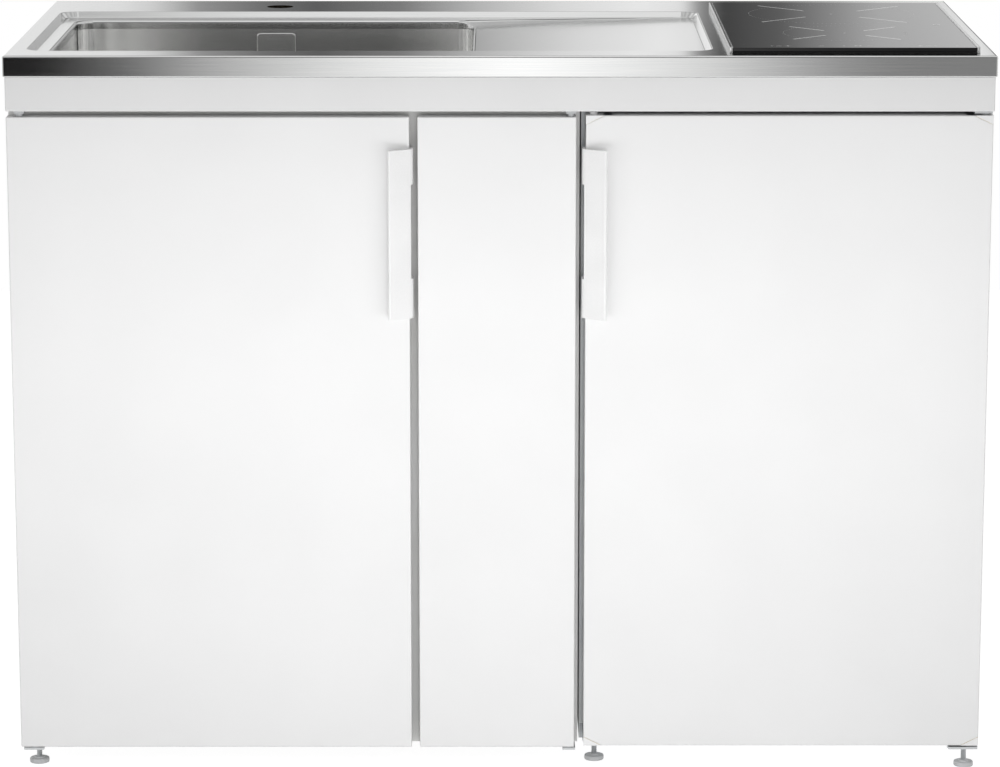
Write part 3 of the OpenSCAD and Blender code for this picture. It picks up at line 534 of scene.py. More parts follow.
# A darker copy of the white powder coat: painted shade under the worktop's overhang.
RAIL_COAT_PAINTED_SHADE = PowderCoat("white_coat_painted_shade", "#e9e9e9", 0.42, shade="#e7e7e7")
WHITE_ABS = MouldedPlastic("white_abs", "#f5f5f5", 0.25, shade="#f1f1f1")
GREY_ABS = MouldedPlastic("pale_grey_abs", "#d4d5d6", 0.35, shade="#c8c9ca")
LINER_PS = MouldedPlastic("liner_polystyrene", "#f1f4f5", 0.22, shade="#e8ecee")
PIPE_PP = MouldedPlastic("pipe_polypropylene", "#e3e3df", 0.5, shade="#d6d6d0")
CLEAR_PS = ClearSheet("clear_polystyrene", "#e4f0f4", 0.06, ior=1.49, clearness=0.88)
SHELF_GLASS = ClearSheet("shelf_float_glass", "#d9efe6", 0.03, ior=1.52, clearness=0.95)
HOB_GLASS = CeramicGlass("black_glass_ceramic", "#0b0b0d", 0.05)
WHITE_BOARD = CoatedBoard("white_melamine_board", "#f3f3f2", 0.45)
ZINC = PlatedSteel("zinc_plate", "#c8cbce", 0.34)
GALVANISED = PlatedSteel("galvanised_sheet", "#b4b8ba", 0.42, cell_mm=14.0)
BLACK_RUBBER = Rubber("black_epdm", "#151515", 0.75)
GREY_SEAL = Rubber("grey_pvc_seal", "#c3c5c6", 0.55)
COPPER = WoundCopper("litz_copper", "#b5673c", 0.35)
CIRCUIT = CircuitBoard("circuit_board", "#1d6a3c", 0.3)
ICE_METAL = RollBond("rolled_aluminium", "#c9ccce", 0.32)
PU_FOAM = Foam("polyurethane_foam", "#d8c48a", 0.9)
BLACK_ENAMEL = Enamel("black_enamel", "#101112", 0.28)
BLACK_PLASTIC = MouldedPlastic("black_polyamide", "#1b1b1c", 0.4, shade="#141415")
FLAP_PS = MouldedPlastic("flap_polystyrene", "#e6f0f6", 0.2, shade="#dbe8f0")
GLUED_BOARD = RawBoard("sealed_chipboard", "#75684f", 0.8)
FLANGE_STEEL = BrushedSteel("stainless_pressed", "#d4d4d3", 0.14, line_mm=1.5)
TRIM_STEEL = BrushedSteel("stainless_trim", "#dcdcdb", 0.12, Grain.ALONG, 0.7)
WHITE_FRAME = PowderCoat("white_frame_coat", "#ededec", 0.5)
CONTROL_PRINT = ScreenPrint("control_print", "#f0f0f0", 0.05, fade=(0.0, 1.0))


class Shape:
    """A mesh in the making, in millimetres."""

    def __init__(self) -> None:
        """Starts an empty mesh."""
        self.bm = bmesh.new()

    def block(self, x: Span, d: Span, z: Span) -> Verts:
        """Adds a block between two corners.

        Args:
            x: Left and right.
            d: Front and back.
            z: Lowest and highest height.

        Returns:
            The new vertices.
        """
        size = Matrix.Diagonal((length(x), length(d), length(z), 1.0))
        middle = Matrix.Translation((sum(x) / 2, sum(d) / 2, sum(z) / 2))
        return bmesh.ops.create_cube(self.bm, size=1.0, matrix=middle @ size)["verts"]

    def post(self, at: Span, z: Span, radius: float, sides: int = 48) -> Verts:
        """Adds an upright cylinder.

        Args:
            at: Its x and depth.
            z: Its lowest and highest height.
            radius: Its radius.
            sides: Number of sides.

        Returns:
            The new vertices.
        """
        middle = Matrix.Translation((*at, sum(z) / 2))
        made = bmesh.ops.create_cone(
            self.bm, cap_ends=True, segments=sides, radius1=radius, radius2=radius,
            depth=length(z), matrix=middle,
        )
        return made["verts"]

    def circle(self, matrix: Matrix, radius: float, sides: int) -> tuple[Verts, Edges]:
        """Adds a circle, which may be moved on into another outline.

        Args:
            matrix: Its place and turn.
            radius: Its radius.
            sides: Number of sides.

        Returns:
            Its vertices and edges.
        """
        made = bmesh.ops.create_circle(
            self.bm, cap_ends=False, radius=radius, segments=sides, matrix=matrix
        )["verts"]
        return made, list({e for v in made for e in v.link_edges})

    def ring(self, x: Span, d: Span, z: float, radius: float, steps: int) -> Edges:
        """Adds the outline of a rectangle with round corners.

        Args:
            x: Left and right.
            d: Front and back.
            z: Height.
            radius: Radius of the corners.
            steps: Number of points in each corner.

        Returns:
            The outline's edges.
        """
        half = math.pi / (4 * steps)
        turn = Matrix.Rotation(half, 4, "Z")
        made, edges = self.circle(turn, radius / math.cos(half), 4 * steps)
        for v in made:
            side_x = (x[1] - radius) if v.co.x > 0 else (x[0] + radius)
            side_d = (d[1] - radius) if v.co.y > 0 else (d[0] + radius)
            v.co = Vector((v.co.x + side_x, v.co.y + side_d, z))
        return edges

    def stack(
        self, x: Span, d: Span, profile: Sequence[Span], radius: float, least: float, steps: int
    ) -> list[Edges]:
        """Adds outlines of one rectangle, each with its own inset and height.

        Args:
            x: Left and right of the outline without an inset.
            d: Its front and back.
            profile: The inset and height of each outline.
            radius: Radius of the corners without an inset.
            least: Smallest radius that a corner may get.
            steps: Number of points in each corner.

        Returns:
            The edges of each outline.
        """
        return [
            self.ring(shrink(x, inset), shrink(d, inset), z, max(radius - inset, least), steps)
            for inset, z in profile
        ]

    def cut_ring(self, x: Span, d: Span, z: float, wide: float, long: float) -> Edges:
        """Adds a rectangle's outline with its four corners cut aslant.

        Args:
            x: Left and right.
            d: Front and back.
            z: Height.
            wide: Length of the cut along x.
            long: Length of the cut along the depth.

        Returns:
            The outline's edges.
        """
        made, edges = self.circle(Matrix.Rotation(math.pi / 8, 4, "Z"), 1.0, 8)
        for v in made:
            along, up = v.co.x > 0, v.co.y > 0
            near_side = abs(v.co.x) > abs(v.co.y)
            px = (x[1] if along else x[0]) - (0 if near_side else (wide if along else -wide))
            py = (d[1] if up else d[0]) - ((long if up else -long) if near_side else 0)
            v.co = Vector((px, py, z))
        return edges

    def bridge(self, rings: Sequence[Edges]) -> None:
        """Joins rings in a row with walls."""
        for one, two in zip(rings, rings[1:]):
            bmesh.ops.bridge_loops(self.bm, edges=one + two)

    def fill(self, *rings: Edges) -> Faces:
        """Fills the flat between an outline and the holes in it.

        Args:
            rings: Edges of the outline and of each hole.

        Returns:
            The new faces.
        """
        edges = [e for ring in rings for e in ring]
        made = bmesh.ops.triangle_fill(self.bm, use_beauty=True, edges=edges, normal=(0, 0, 1))
        return [g for g in made["geom"] if isinstance(g, bmesh.types.BMFace)]

    def cut(self, faces: Faces, at: Span, across: Span) -> Faces:
        """Cuts faces along an upright plane.

        Args:
            faces: Faces to cut.
            at: A place on the plane.
            across: The plane's direction across, in plan.

        Returns:
            The faces after the cut.
        """
        parts = set(faces)
        for f in faces:
            parts.update(f.edges, f.verts)
        made = bmesh.ops.bisect_plane(
            self.bm, geom=list(parts), dist=0.01, plane_co=(*at, 0.0), plane_no=(*across, 0.0)
        )
        return [g for g in made["geom"] if isinstance(g, bmesh.types.BMFace) and g.is_valid]

    def pillow(self, x: Span, d: Span, z: Span, radius: float, edge: float) -> None:
        """Adds a closed plate with round corners and a rounded upper edge.

        Args:
            x: Left and right.
            d: Front and back.
            z: Lowest and highest height.
            radius: Radius of the corners in plan.
            edge: Radius of the upper edge.
        """
        profile = [(0.0, z[0])]
        profile += [(edge - edge * math.cos(a), z[1] - edge + edge * math.sin(a)) for a in QUARTER]
        rings = self.stack(x, d, profile, radius, 0.2, 5)
        self.bridge(rings)
        for end in (rings[0], rings[-1]):
            bmesh.ops.contextual_create(self.bm, geom=end)

    def hoop(self, at: Span, z: Span, outer: float, inner: float, sides: int = 24) -> None:
        """Adds a flat closed hoop.

        Args:
            at: Its x and depth.
            z: Its lowest and highest height.
            outer: Its outer radius.
            inner: Its inner radius.
            sides: Number of sides.
        """
        corners = [(inner, z[0]), (outer, z[0]), (outer, z[1]), (inner, z[1]), (inner, z[0])]
        self.turn(corners, at, sides)

    def turn(self, profile: Sequence[Span], at: Span, sides: int = 48) -> None:
        """Adds a body of revolution about an upright axis.

        Args:
            profile: Radius and height of each corner, from bottom to top.
            at: The axis's x and depth.
            sides: Number of sides.
        """
        corners = [self.bm.verts.new((at[0] + r, at[1], z)) for r, z in profile]
        edges = [self.bm.edges.new(pair) for pair in zip(corners, corners[1:])]
        bmesh.ops.spin(
            self.bm, geom=corners + edges, cent=(*at, 0.0), axis=(0, 0, 1), angle=math.tau,
            steps=sides, use_merge=True,
        )
        self.outward()

    def raise_faces(self, faces: Faces, height: float) -> Faces:
        """Draws faces upwards into a block.

        Args:
            faces: Faces to draw up.
            height: How far up.

        Returns:
            The block's top faces.
        """
        made = bmesh.ops.extrude_face_region(self.bm, geom=faces)["geom"]
        corners = [g for g in made if isinstance(g, bmesh.types.BMVert)]
        bmesh.ops.translate(self.bm, verts=corners, vec=(0, 0, height))
        return [g for g in made if isinstance(g, bmesh.types.BMFace)]

    def stand(self, depth: float) -> None:
        """Turns a lying shape upright: its depth becomes height, its height faces the front."""
        upright = Matrix.Translation((0.0, depth, 0.0)) @ Matrix.Rotation(math.pi / 2, 4, "X")
        bmesh.ops.transform(self.bm, matrix=upright, verts=self.bm.verts)

    def bevel(self, radius: float, segments: int = 3) -> None:
        """Rounds the sharp edges.

        Args:
            radius: Radius of the rounding.
            segments: Number of steps in it.
        """
        sharp = [
            e
            for e in self.bm.edges
            if len(e.link_faces) == 2 and e.calc_face_angle(0.0) > math.radians(SHARP_ANGLE)
        ]
        bmesh.ops.bevel(
            self.bm, geom=sharp, offset=radius, offset_type="OFFSET", segments=segments,
            profile=0.5, affect="EDGES", material=-1, clamp_overlap=True,
        )

    def outward(self) -> None:
        """Merges doubles and points every face outwards."""
        bmesh.ops.remove_doubles(self.bm, verts=self.bm.verts, dist=0.001)
        bmesh.ops.recalc_face_normals(self.bm, faces=self.bm.faces)

    def face_up(self) -> None:
        """Merges doubles and turns an open sheet so that its largest flat looks up."""
        self.outward()
        flats = [f for f in self.bm.faces if abs(f.normal.z) > 0.99]
        if max(flats, key=lambda f: f.calc_area()).normal.z < 0:
            bmesh.ops.reverse_faces(self.bm, faces=self.bm.faces)

    def piece(
        self,
        name: str,
        body: str,
        finish: Finish,
        stands_for: Iterable[str] = (),
        smooth: float = 32.0,
    ) -> bpy.types.Object:
        """Turns the mesh into a finished piece of the object.

        Args:
            name: Name of the piece.
            body: CAD body that it moves with.
            finish: Its finish.
            stands_for: CAD nodes that it replaces.
            smooth: Edges sharper than this many degrees stay sharp.

        Returns:
            The new object.
        """
        bmesh.ops.translate(self.bm, verts=self.bm.verts, vec=(0, FRONT, 0))
        bmesh.ops.scale(self.bm, verts=self.bm.verts, vec=(1.0 / METRE,) * 3)
        for face in self.bm.faces:
            face.smooth = True
        for edge in self.bm.edges:
            inner = len(edge.link_faces) == 2
            edge.smooth = inner and edge.calc_face_angle(0.0) < math.radians(smooth)
        mesh = bpy.data.meshes.new(name)
        self.bm.to_mesh(mesh)
        self.bm.free()
        made = bpy.data.objects.new(name, mesh)
        bpy.context.scene.collection.objects.link(made)
        mesh.materials.append(finish.material())
        even = made.modifiers.new("even_shading", "WEIGHTED_NORMAL")
        even.keep_sharp = True
        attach(made, body)
        if stands_for:
            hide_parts(*stands_for)
        LOG.info("%s rides on %s, %d faces", name, body, len(mesh.polygons))
        return made


def shrink(span: Span, by: float) -> Span:
    """Returns the range made smaller at both ends, or larger where the value is negative."""
    return (span[0] + by, span[1] - by)


def length(span: Span) -> float:
    """Returns the length of a range."""
    return span[1] - span[0]


def nearest(value: float, span: Span) -> float:
    """Returns the place in a range that is nearest to a value."""
    return min(max(value, span[0]), span[1])


def smooth_step(share: float) -> float:
    """Returns a smooth rise from 0 to 1."""
    held = nearest(share, (0.0, 1.0))
    return held * held * (3.0 - 2.0 * held)


def arc_points(centre: Span, radius: float, start: float, end: float, steps: int) -> list[Span]:
    """Gives points on an arc.

    Args:
        centre: The arc's centre.
        radius: Its radius.
        start: Angle of the first point, in degrees.
        end: Angle of the last one.
        steps: Number of steps between them.

    Returns:
        The points.
    """
    angles = [math.radians(start + (end - start) * k / steps) for k in range(steps + 1)]
    return [(centre[0] + radius * math.cos(a), centre[1] + radius * math.sin(a)) for a in angles]


def rolled_edge(radius: float) -> list[Span]:
    """Gives the inset and height of the steps down a rolled edge, from the flat that it leaves."""
    return [(radius - radius * math.sin(a), radius * math.cos(a) - radius) for a in QUARTER]


def thicken(made: bpy.types.Object, sheet: float) -> None:
    """Gives an open sheet its thickness behind the face that shows.

    Args:
        made: The open sheet's piece.
        sheet: Thickness in millimetres.
    """
    wall = made.modifiers.new("sheet", "SOLIDIFY")
    wall.thickness = sheet / METRE
    wall.offset = -1.0
    made.modifiers.move(len(made.modifiers) - 1, 0)


def node_range(node: str) -> tuple[Span, Span, Span]:
    """Returns a CAD node's ranges of x, depth and height, in millimetres."""
    low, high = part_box(node)
    return (
        (low.x * METRE, high.x * METRE),
        (low.y * METRE - FRONT, high.y * METRE - FRONT),
        (low.z * METRE, high.z * METRE),
    )


@dataclass
class Worktop:
    """The pressed stainless sheet: folded edge, recess, drainer hollow and tap hole."""

    edge_round: float = 2.5
    corner: float = 2.0
    fold: float = 1.5
    lip: float = 13.0
    sheet: float = 1.2
    fillet: float = 2.0
    support: float = 0.8
    recess_x: Span = (-577.5, 259.0)
    recess_d: Span = (51.0, 473.0)
    recess_z: float = 893.0
    recess_r: float = 24.0
    recess_lean: float = 6.4
    bowl_x: Span = (-551.5, -34.5)
    bowl_d: Span = (77.0, 430.0)
    bowl_r: float = 23.0
    corner_steps: int = 8
    rim: float = 3.4
    seam_z: float = 882.0
    fall: float = 6.0
    slope_x: Span = (9.5, 249.0)
    hollow_x: Span = (-48.5, 249.0)
    wide_d: Span = (59.5, 464.5)
    bank: float = 3.6
    bank_steps: int = 6
    hob_x: Span = (291.5, 567.5)
    hob_d: Span = (38.0, 500.0)
    hob_r: float = 4.0
    tap: Triple = (-293.0, 530.0, 17.5)

    def outer_rings(self, shape: Shape) -> list[Edges]:
        """Makes the rings of the folded edge, from the flat top to the turned-in lip.

        Args:
            shape: Mesh in the making.

        Returns:
            The rings' edges.
        """
        x, d, z = node_range("worktop")
        profile = [(self.edge_round + self.support, z[1])]
        profile += [(inset, z[1] + down) for inset, down in rolled_edge(self.edge_round)]
        fold = self.fold
        profile += [(0.0, z[0] + fold), (0.3 * fold, z[0] + 0.3 * fold), (fold, z[0])]
        profile.append((self.lip, z[0]))
        return shape.stack(x, d, profile, self.corner, 0.25, 3)

    def step_rings(self, shape: Shape, top: float) -> list[Edges]:
        """Makes the rings of the rounded step round the recess.

        Args:
            shape: Mesh in the making.
            top: Height of the worktop's flat.

        Returns:
            Rings from the upper flat to the recess's floor.
        """
        r, low = self.fillet, self.recess_z
        slope = math.atan2(top - low, self.recess_lean)
        start = -r * math.tan(slope / 2.0)
        end = self.recess_lean - start
        turns = [slope * k / 4 for k in range(5)]
        profile = [(start - self.support, top)]
        profile += [(start + r * math.sin(a), top - r + r * math.cos(a)) for a in turns]
        profile += [(end - r * math.sin(a), low + r - r * math.cos(a)) for a in reversed(turns)]
        profile.append((end + self.support, low))
        return shape.stack(
            self.recess_x, self.recess_d, profile, self.recess_r, 0.5, self.corner_steps
        )

    def hollow_sides(self, x: float) -> Span:
        """Gives the depths of the hollow's front and back edge; it widens to the right.

        Args:
            x: Place along the worktop.

        Returns:
            The front and back edge's depth there.
        """
        start = self.bowl_x[1]
        along = (x - start) / (self.hollow_x[1] - start)
        front, back = (near + (far - near) * along for near, far in zip(self.bowl_d, self.wide_d))
        return (front, back)

    def hollow(self, x: float, d: float) -> float:
        """Gives the drainer hollow's depth below the recess's floor.

        Args:
            x: Place along the worktop.
            d: Its depth from the front.

        Returns:
            The hollow's depth there.
        """
        if x < self.bowl_x[1] - self.bowl_r:
            return 0.0
        front, back = self.hollow_sides(x)
        side = smooth_step(min(back - d, d - front) / self.bank)
        risen = nearest((x - self.slope_x[0]) / length(self.slope_x), (0.0, 1.0))
        return self.fall * side * (1.0 - risen)

    def rim_rings(self, shape: Shape) -> list[Edges]:
        """Makes the rings of the bowl's rim, which dips where the drainer's hollow meets it.

        Args:
            shape: Mesh in the making.

        Returns:
            Rings from the recess's floor down to the bowl's seam.
        """
        r, x, d, steps = self.rim, self.bowl_x, self.bowl_d, self.corner_steps
        profile = [(-r - self.support, 0.0)]
        profile += [(r * math.sin(a) - r, r * math.cos(a) - r) for a in QUARTER]
        rings = shape.stack(x, d, [(inset, 0.0) for inset, _ in profile], self.bowl_r, 0.0, steps)
        straight = (shrink(x, self.bowl_r), shrink(d, self.bowl_r))
        for ring, (inset, down) in zip(rings, profile):
            for v in {v for e in ring for v in e.verts}:
                away = v.co - Vector((*map(nearest, v.co, straight), 0.0))
                rim_at = v.co + away.normalized() * (r + self.support + inset)
                v.co.z = self.recess_z + down - self.hollow(rim_at.x, rim_at.y)
        return rings + [shape.ring(x, d, self.seam_z, self.bowl_r, steps)]

    def fill_floor(self, shape: Shape, outline: Edges, rim: Edges) -> Faces:
        """Fills the recess's floor, with the bowl's rim held flat meanwhile.

        Args:
            shape: Mesh in the making.
            outline: Foot of the step round the recess.
            rim: Upper ring of the bowl's rim.

        Returns:
            The floor's faces.
        """
        heights = {v: v.co.z for e in rim for v in e.verts}
        for v in heights:
            v.co.z = self.recess_z
        floor = shape.fill(outline, rim)
        for v, height in heights.items():
            v.co.z = height
        return floor

    def sink_hollow(self, shape: Shape, floor: Faces) -> None:
        """Cuts the floor along the hollow's banks and slope, then lowers it.

        Args:
            shape: Mesh in the making.
            floor: Faces of the recess's floor.
        """
        left, right = self.hollow_x
        faces = floor
        for x in (left, *self.slope_x):
            faces = shape.cut(faces, (x, 0.0), (1.0, 0.0))
        for side, sign in ((0, 1.0), (1, -1.0)):
            for k in range(self.bank_steps + 1):
                shift = sign * self.bank * k / self.bank_steps
                start, end = (self.hollow_sides(x)[side] + shift for x in (left, right))
                faces = [f for f in faces if f.is_valid]
                near = [f for f in faces if min(v.co.x for v in f.verts) > left - 0.01]
                rest = [f for f in faces if f not in set(near)]
                faces = rest + shape.cut(near, (left, start), (start - end, right - left))
        for v in {v for f in faces if f.is_valid for v in f.verts}:
            if v.co.z > self.recess_z - 0.01:
                v.co.z = self.recess_z - self.hollow(v.co.x, v.co.y)

    def build(self) -> None:
        """Builds the sheet as one surface and gives it its thickness."""
        shape = Shape()
        top = node_range("worktop")[2][1]
        outer = self.outer_rings(shape)
        step = self.step_rings(shape, top)
        rim = self.rim_rings(shape)
        for rings in (outer, step, rim):
            shape.bridge(rings)
        cutout = shape.ring(self.hob_x, self.hob_d, top, self.hob_r, 3)
        tap_at = Matrix.Translation((*self.tap[:2], top))
        tap_hole = shape.circle(tap_at, self.tap[2], 64)[1]
        shape.fill(outer[0], step[0], cutout, tap_hole)
        self.sink_hollow(shape, self.fill_floor(shape, step[-1], rim[0]))
        shape.face_up()
        made = shape.piece("worktop_sheet", "unit", SHEET_STEEL, ["worktop"])
        thicken(made, self.sheet)


@dataclass
class SinkBowl:
    """The deep-drawn bowl under the recess, with its overflow's cover plate."""

    x: Span = (-551.5, -34.5)
    d: Span = (77.0, 430.0)
    radius: float = 23.0
    top: float = 881.95
    floor: float = 733.0
    foot: float = 15.0
    sheet: float = 1.0
    waste: Triple = (-293.0, 320.0, 44.6)
    plate_round: float = 5.0
    plate_thick: float = 1.6
    plate_edge: float = 1.3
    stem: float = 5.0
    stem_gap: float = 0.2
    stem_lap: float = 0.1

    def build(self) -> None:
        """Builds the bowl's shell and the cover plate."""
        shape = Shape()
        foot, floor = self.foot, self.floor
        profile = [(0.0, self.top)]
        profile += [(foot - foot * math.cos(a), floor + foot - foot * math.sin(a)) for a in QUARTER]
        profile.append((foot + 1.0, floor))
        rings = shape.stack(self.x, self.d, profile, self.radius, 0.0, 8)
        shape.bridge(rings)
        waste_at = Matrix.Translation((*self.waste[:2], floor))
        shape.fill(rings[-1], shape.circle(waste_at, self.waste[2], 64)[1])
        shape.face_up()
        made = shape.piece("sink_bowl_shell", "unit", BOWL_STEEL, ["sink_bowl"])
        thicken(made, self.sheet)
        self.build_plate()

    def build_plate(self) -> None:
        """Builds the overflow's cover plate, which stands off the wall on its stem."""
        x, d, z = node_range("overflow_cover")
        shape = Shape()
        shape.pillow(x, z, (-self.plate_thick, 0.0), self.plate_round, self.plate_edge)
        stem_z = (self.stem_gap - length(d), self.stem_lap - self.plate_thick)
        shape.post((sum(x) / 2, sum(z) / 2), stem_z, self.stem)
        shape.stand(d[0])
        shape.piece("overflow_plate", "unit", PLATE_STEEL, ["overflow_cover"])


@dataclass
class Hob:
    """The flush glass of the hob with its steel side trims and printed marks."""

    glass_round: float = 0.8
    trim_round: float = 0.7
    trim_gap: float = 0.1
    centre_x: float = 429.5
    rear: Span = (382.4, 107.0)
    front: Span = (174.0, 76.6)
    print_z: Span = (0.02, 0.08)
    centre_dot: float = 1.6
    arm_turn: float = 43.0
    arm_reach: Span = (0.46, 1.22)
    arm_half: float = 1.5
    ring_dot: float = 0.55
    dots_per_mm: float = 1.1
    fade: Span = (0.78, 1.2)
    row: float = 41.0
    bars: tuple[float, ...] = (338.6, 390.0, 449.0, 520.7)
    plus_signs: Span = (349.5, 509.8)
    bar_half: Span = (3.2, 0.7)
    plus_reach: Span = (0.71, 3.4)
    row_dots: tuple[float, ...] = (330.0, 417.5, 528.0, 554.7)
    row_dot: float = 1.4
    hoops: tuple[Span, ...] = ((434.5, 41.0), (553.0, 262.0))
    hoop_radii: Span = (4.2, 2.9)

    def build(self) -> None:
        """Builds the glass, the trims and the print."""
        glass = node_range("hob_glass")
        shape = Shape()
        shape.block(*glass)
        shape.bevel(self.glass_round)
        shape.piece("hob_glass_plate", "unit", HOB_GLASS, ["hob_glass"])
        x, d, z = node_range("hob_side_trims")
        shape = Shape()
        inner = shrink(glass[0], -self.trim_gap)
        for span in ((x[0], inner[0]), (inner[1], x[1])):
            shape.block(span, d, z)
        shape.bevel(self.trim_round)
        shape.piece("hob_trims", "unit", TRIM_STEEL, ["hob_side_trims"])
        lift = (glass[2][1] + self.print_z[0], glass[2][1] + self.print_z[1])
        self.build_zone("rear_zone", self.rear, lift)
        self.build_zone("front_zone", self.front, lift)
        self.build_controls(lift)

    def build_zone(self, name: str, zone: Span, lift: Span) -> None:
        """Builds a cooking zone's print: four arms, a dotted ring and a centre dot.

        Args:
            name: Name of the zone.
            zone: Depth of its centre, and its radius.
            lift: Lowest and highest height of the print.
        """
        depth, radius = zone
        centre = Vector((self.centre_x, depth, 0.0))
        shape = Shape()
        shape.post(centre[:2], lift, self.centre_dot, 16)
        reach = (radius * self.arm_reach[0], radius * self.arm_reach[1])
        for quarter in range(4):
            turn = Matrix.Rotation(math.radians(self.arm_turn + 90.0 * quarter), 4, "Z")
            arm = shape.block(reach, (-self.arm_half, self.arm_half), lift)
            matrix = Matrix.Translation(centre) @ turn
            bmesh.ops.transform(shape.bm, matrix=matrix, verts=arm)
        dots = round(radius * self.dots_per_mm)
        for at in arc_points(centre[:2], radius, 0.0, 360.0, dots)[:-1]:
            shape.post(at, lift, self.ring_dot, 6)
        finish = ScreenPrint(
            name + "_print",
            roughness=0.05,
            centre=(self.centre_x, depth + FRONT, 0.0),
            fade=(radius * self.fade[0], radius * self.fade[1]),
        )
        shape.piece(name + "_marks", "unit", finish)

    def build_controls(self, lift: Span) -> None:
        """Builds the touch controls' print: plain signs in a row near the front edge.

        Args:
            lift: Lowest and highest height of the print.
        """
        shape = Shape()
        wide, thin = self.bar_half
        near, far = self.plus_reach
        row = self.row
        for x in (*self.bars, *self.plus_signs):
            shape.block((x - wide, x + wide), (row - thin, row + thin), lift)
        for x in self.plus_signs:
            for d in ((row - far, row - near), (row + near, row + far)):
                shape.block((x - thin, x + thin), d, lift)
        for x in self.row_dots:
            shape.post((x, row), lift, self.row_dot, 12)
        for at in self.hoops:
            shape.hoop(at, lift, *self.hoop_radii)
        shape.piece("control_marks", "unit", CONTROL_PRINT)


@dataclass
class FrontRail:
    """The white folded rail under the worktop, in a darker copy of the white coat: painted shade
    from the worktop's overhang.
    """

    edge: float = 1.4

    def build(self) -> None:
        """Builds the rail with its rolled edges."""
        shape = Shape()
        shape.block(*node_range("fascia_rail"))
        shape.bevel(self.edge, 4)
        shape.piece("front_rail", "unit", RAIL_COAT_PAINTED_SHADE, ["fascia_rail"])


@dataclass
class DoorSheet:
    """A door's painted steel sheet, folded back round its four edges."""

    node: str
    body: str
    name: str
    caps: bool = False
    edge: float = 1.6
    support: float = 0.8
    corner: float = 1.2
    sheet: float = 0.9
    cap_size: Span = (22.25, 11.15)
    cap_lean: Span = (0.23, 0.6)

    def outline(self, shape: Shape, x: Span, z: Span, forward: float, inset: float) -> Edges:
        """Makes one outline of the pan, its corners cut aslant for the plastic corner pieces.

        Args:
            shape: Mesh in the making.
            x: Range of the door along x.
            z: Range of the door along the height.
            forward: Distance in front of the pan's face.
            inset: How far the outline stands in.

        Returns:
            The outline's edges.
        """
        wide, high = (size - inset * lean for size, lean in zip(self.cap_size, self.cap_lean))
        return shape.cut_ring(shrink(x, inset), shrink(z, inset), forward, wide, high)

    def build(self) -> None:
        """Builds the pan with its rolled front edges."""
        x, d, z = node_range(self.node)
        shape = Shape()
        profile = [(self.edge + self.support, 0.0), *rolled_edge(self.edge), (0.0, -length(d))]
        if self.caps:
            rings = [self.outline(shape, x, z, forward, inset) for inset, forward in profile]
        else:
            rings = shape.stack(x, z, profile, self.corner, 0.2, 3)
        shape.bridge(rings)
        bmesh.ops.contextual_create(shape.bm, geom=rings[0])
        shape.stand(d[0])
        shape.outward()
        made = shape.piece(self.name, self.body, WHITE_SHEET, [self.node])
        thicken(made, self.sheet)


@dataclass
class Handle:
    """A white moulded grip that wraps round the door's edge at its ends."""

    node: str
    body: str
    name: str
    edge_x: float
    side: int
    front_d: float = 4.0
    reach: float = 25.0
    width: float = 25.5
    wrap: float = 4.6
    behind: float = 14.0
    bend: float = 12.0
    lean: float = 121.0
    tip: float = 2.2
    tip_turn: float = 150.0
    split_x: float = -2.0
    tab_top: float = 43.5
    tab_bottom: float = 48.5
    round: float = 0.5

    def section(self, z: float) -> list[Vector]:
        """Gives the corners of the plan section; x runs from the door's edge, y to the front.

        Args:
            z: Height of the section.

        Returns:
            The corners.
        """
        corners = [(0.0, -self.behind), (-self.wrap, -self.behind)]
        bend_at = (self.bend - self.wrap, 0.0)
        tip_at = (self.width - self.tip, self.reach - self.tip)
        corners += arc_points(bend_at, self.bend, 180.0, self.lean, 12)
        corners += arc_points(tip_at, self.tip, self.lean, self.lean - self.tip_turn, 8)
        corners += arc_points(bend_at, bend_at[0], self.lean, 180.0, 12)
        return [Vector((x, y, z)) for x, y in corners]

    def build(self) -> None:
        """Builds the grip: wrapped ends and a shorter part between them."""
        z = node_range(self.node)[2]
        middle_z = (z[0] + self.tab_bottom, z[1] - self.tab_top)
        shape = Shape()
        bm = shape.bm
        bm.faces.new([bm.verts.new(co) for co in self.section(z[0])])
        shape.cut(list(bm.faces), (self.split_x, 0.0), (1.0, 0.0))
        shape.cut(list(bm.faces), (0.0, 0.0), (0.0, 1.0))
        ends = bmesh.ops.duplicate(bm, geom=list(bm.faces))["geom"]
        upper = [g for g in ends if isinstance(g, bmesh.types.BMFace)]
        lower = [f for f in bm.faces if f not in set(upper)]
        for v in {v for f in upper for v in f.verts}:
            v.co.z = middle_z[1]
        front = self.front_faces(shape.raise_faces(lower, self.tab_bottom))
        inner = front + shape.raise_faces(front, length(middle_z)) + self.front_faces(upper)
        shape.raise_faces(upper, self.tab_top)
        bmesh.ops.delete(bm, geom=inner, context="FACES_ONLY")
        bmesh.ops.remove_doubles(bm, verts=bm.verts, dist=0.01)
        for v in bm.verts:
            v.co = Vector((self.edge_x + self.side * v.co.x, self.front_d - v.co.y, v.co.z))
        shape.outward()
        shape.bevel(self.round, 2)
        shape.piece(self.name, self.body, WHITE_ABS, [self.node])

    def front_faces(self, faces: Faces) -> Faces:
        """Picks the faces of the part that runs on between the wrapped ends."""
        middles = [(f, f.calc_center_median()) for f in faces]
        return [f for f, middle in middles if middle.x > self.split_x and middle.y > 0.0]


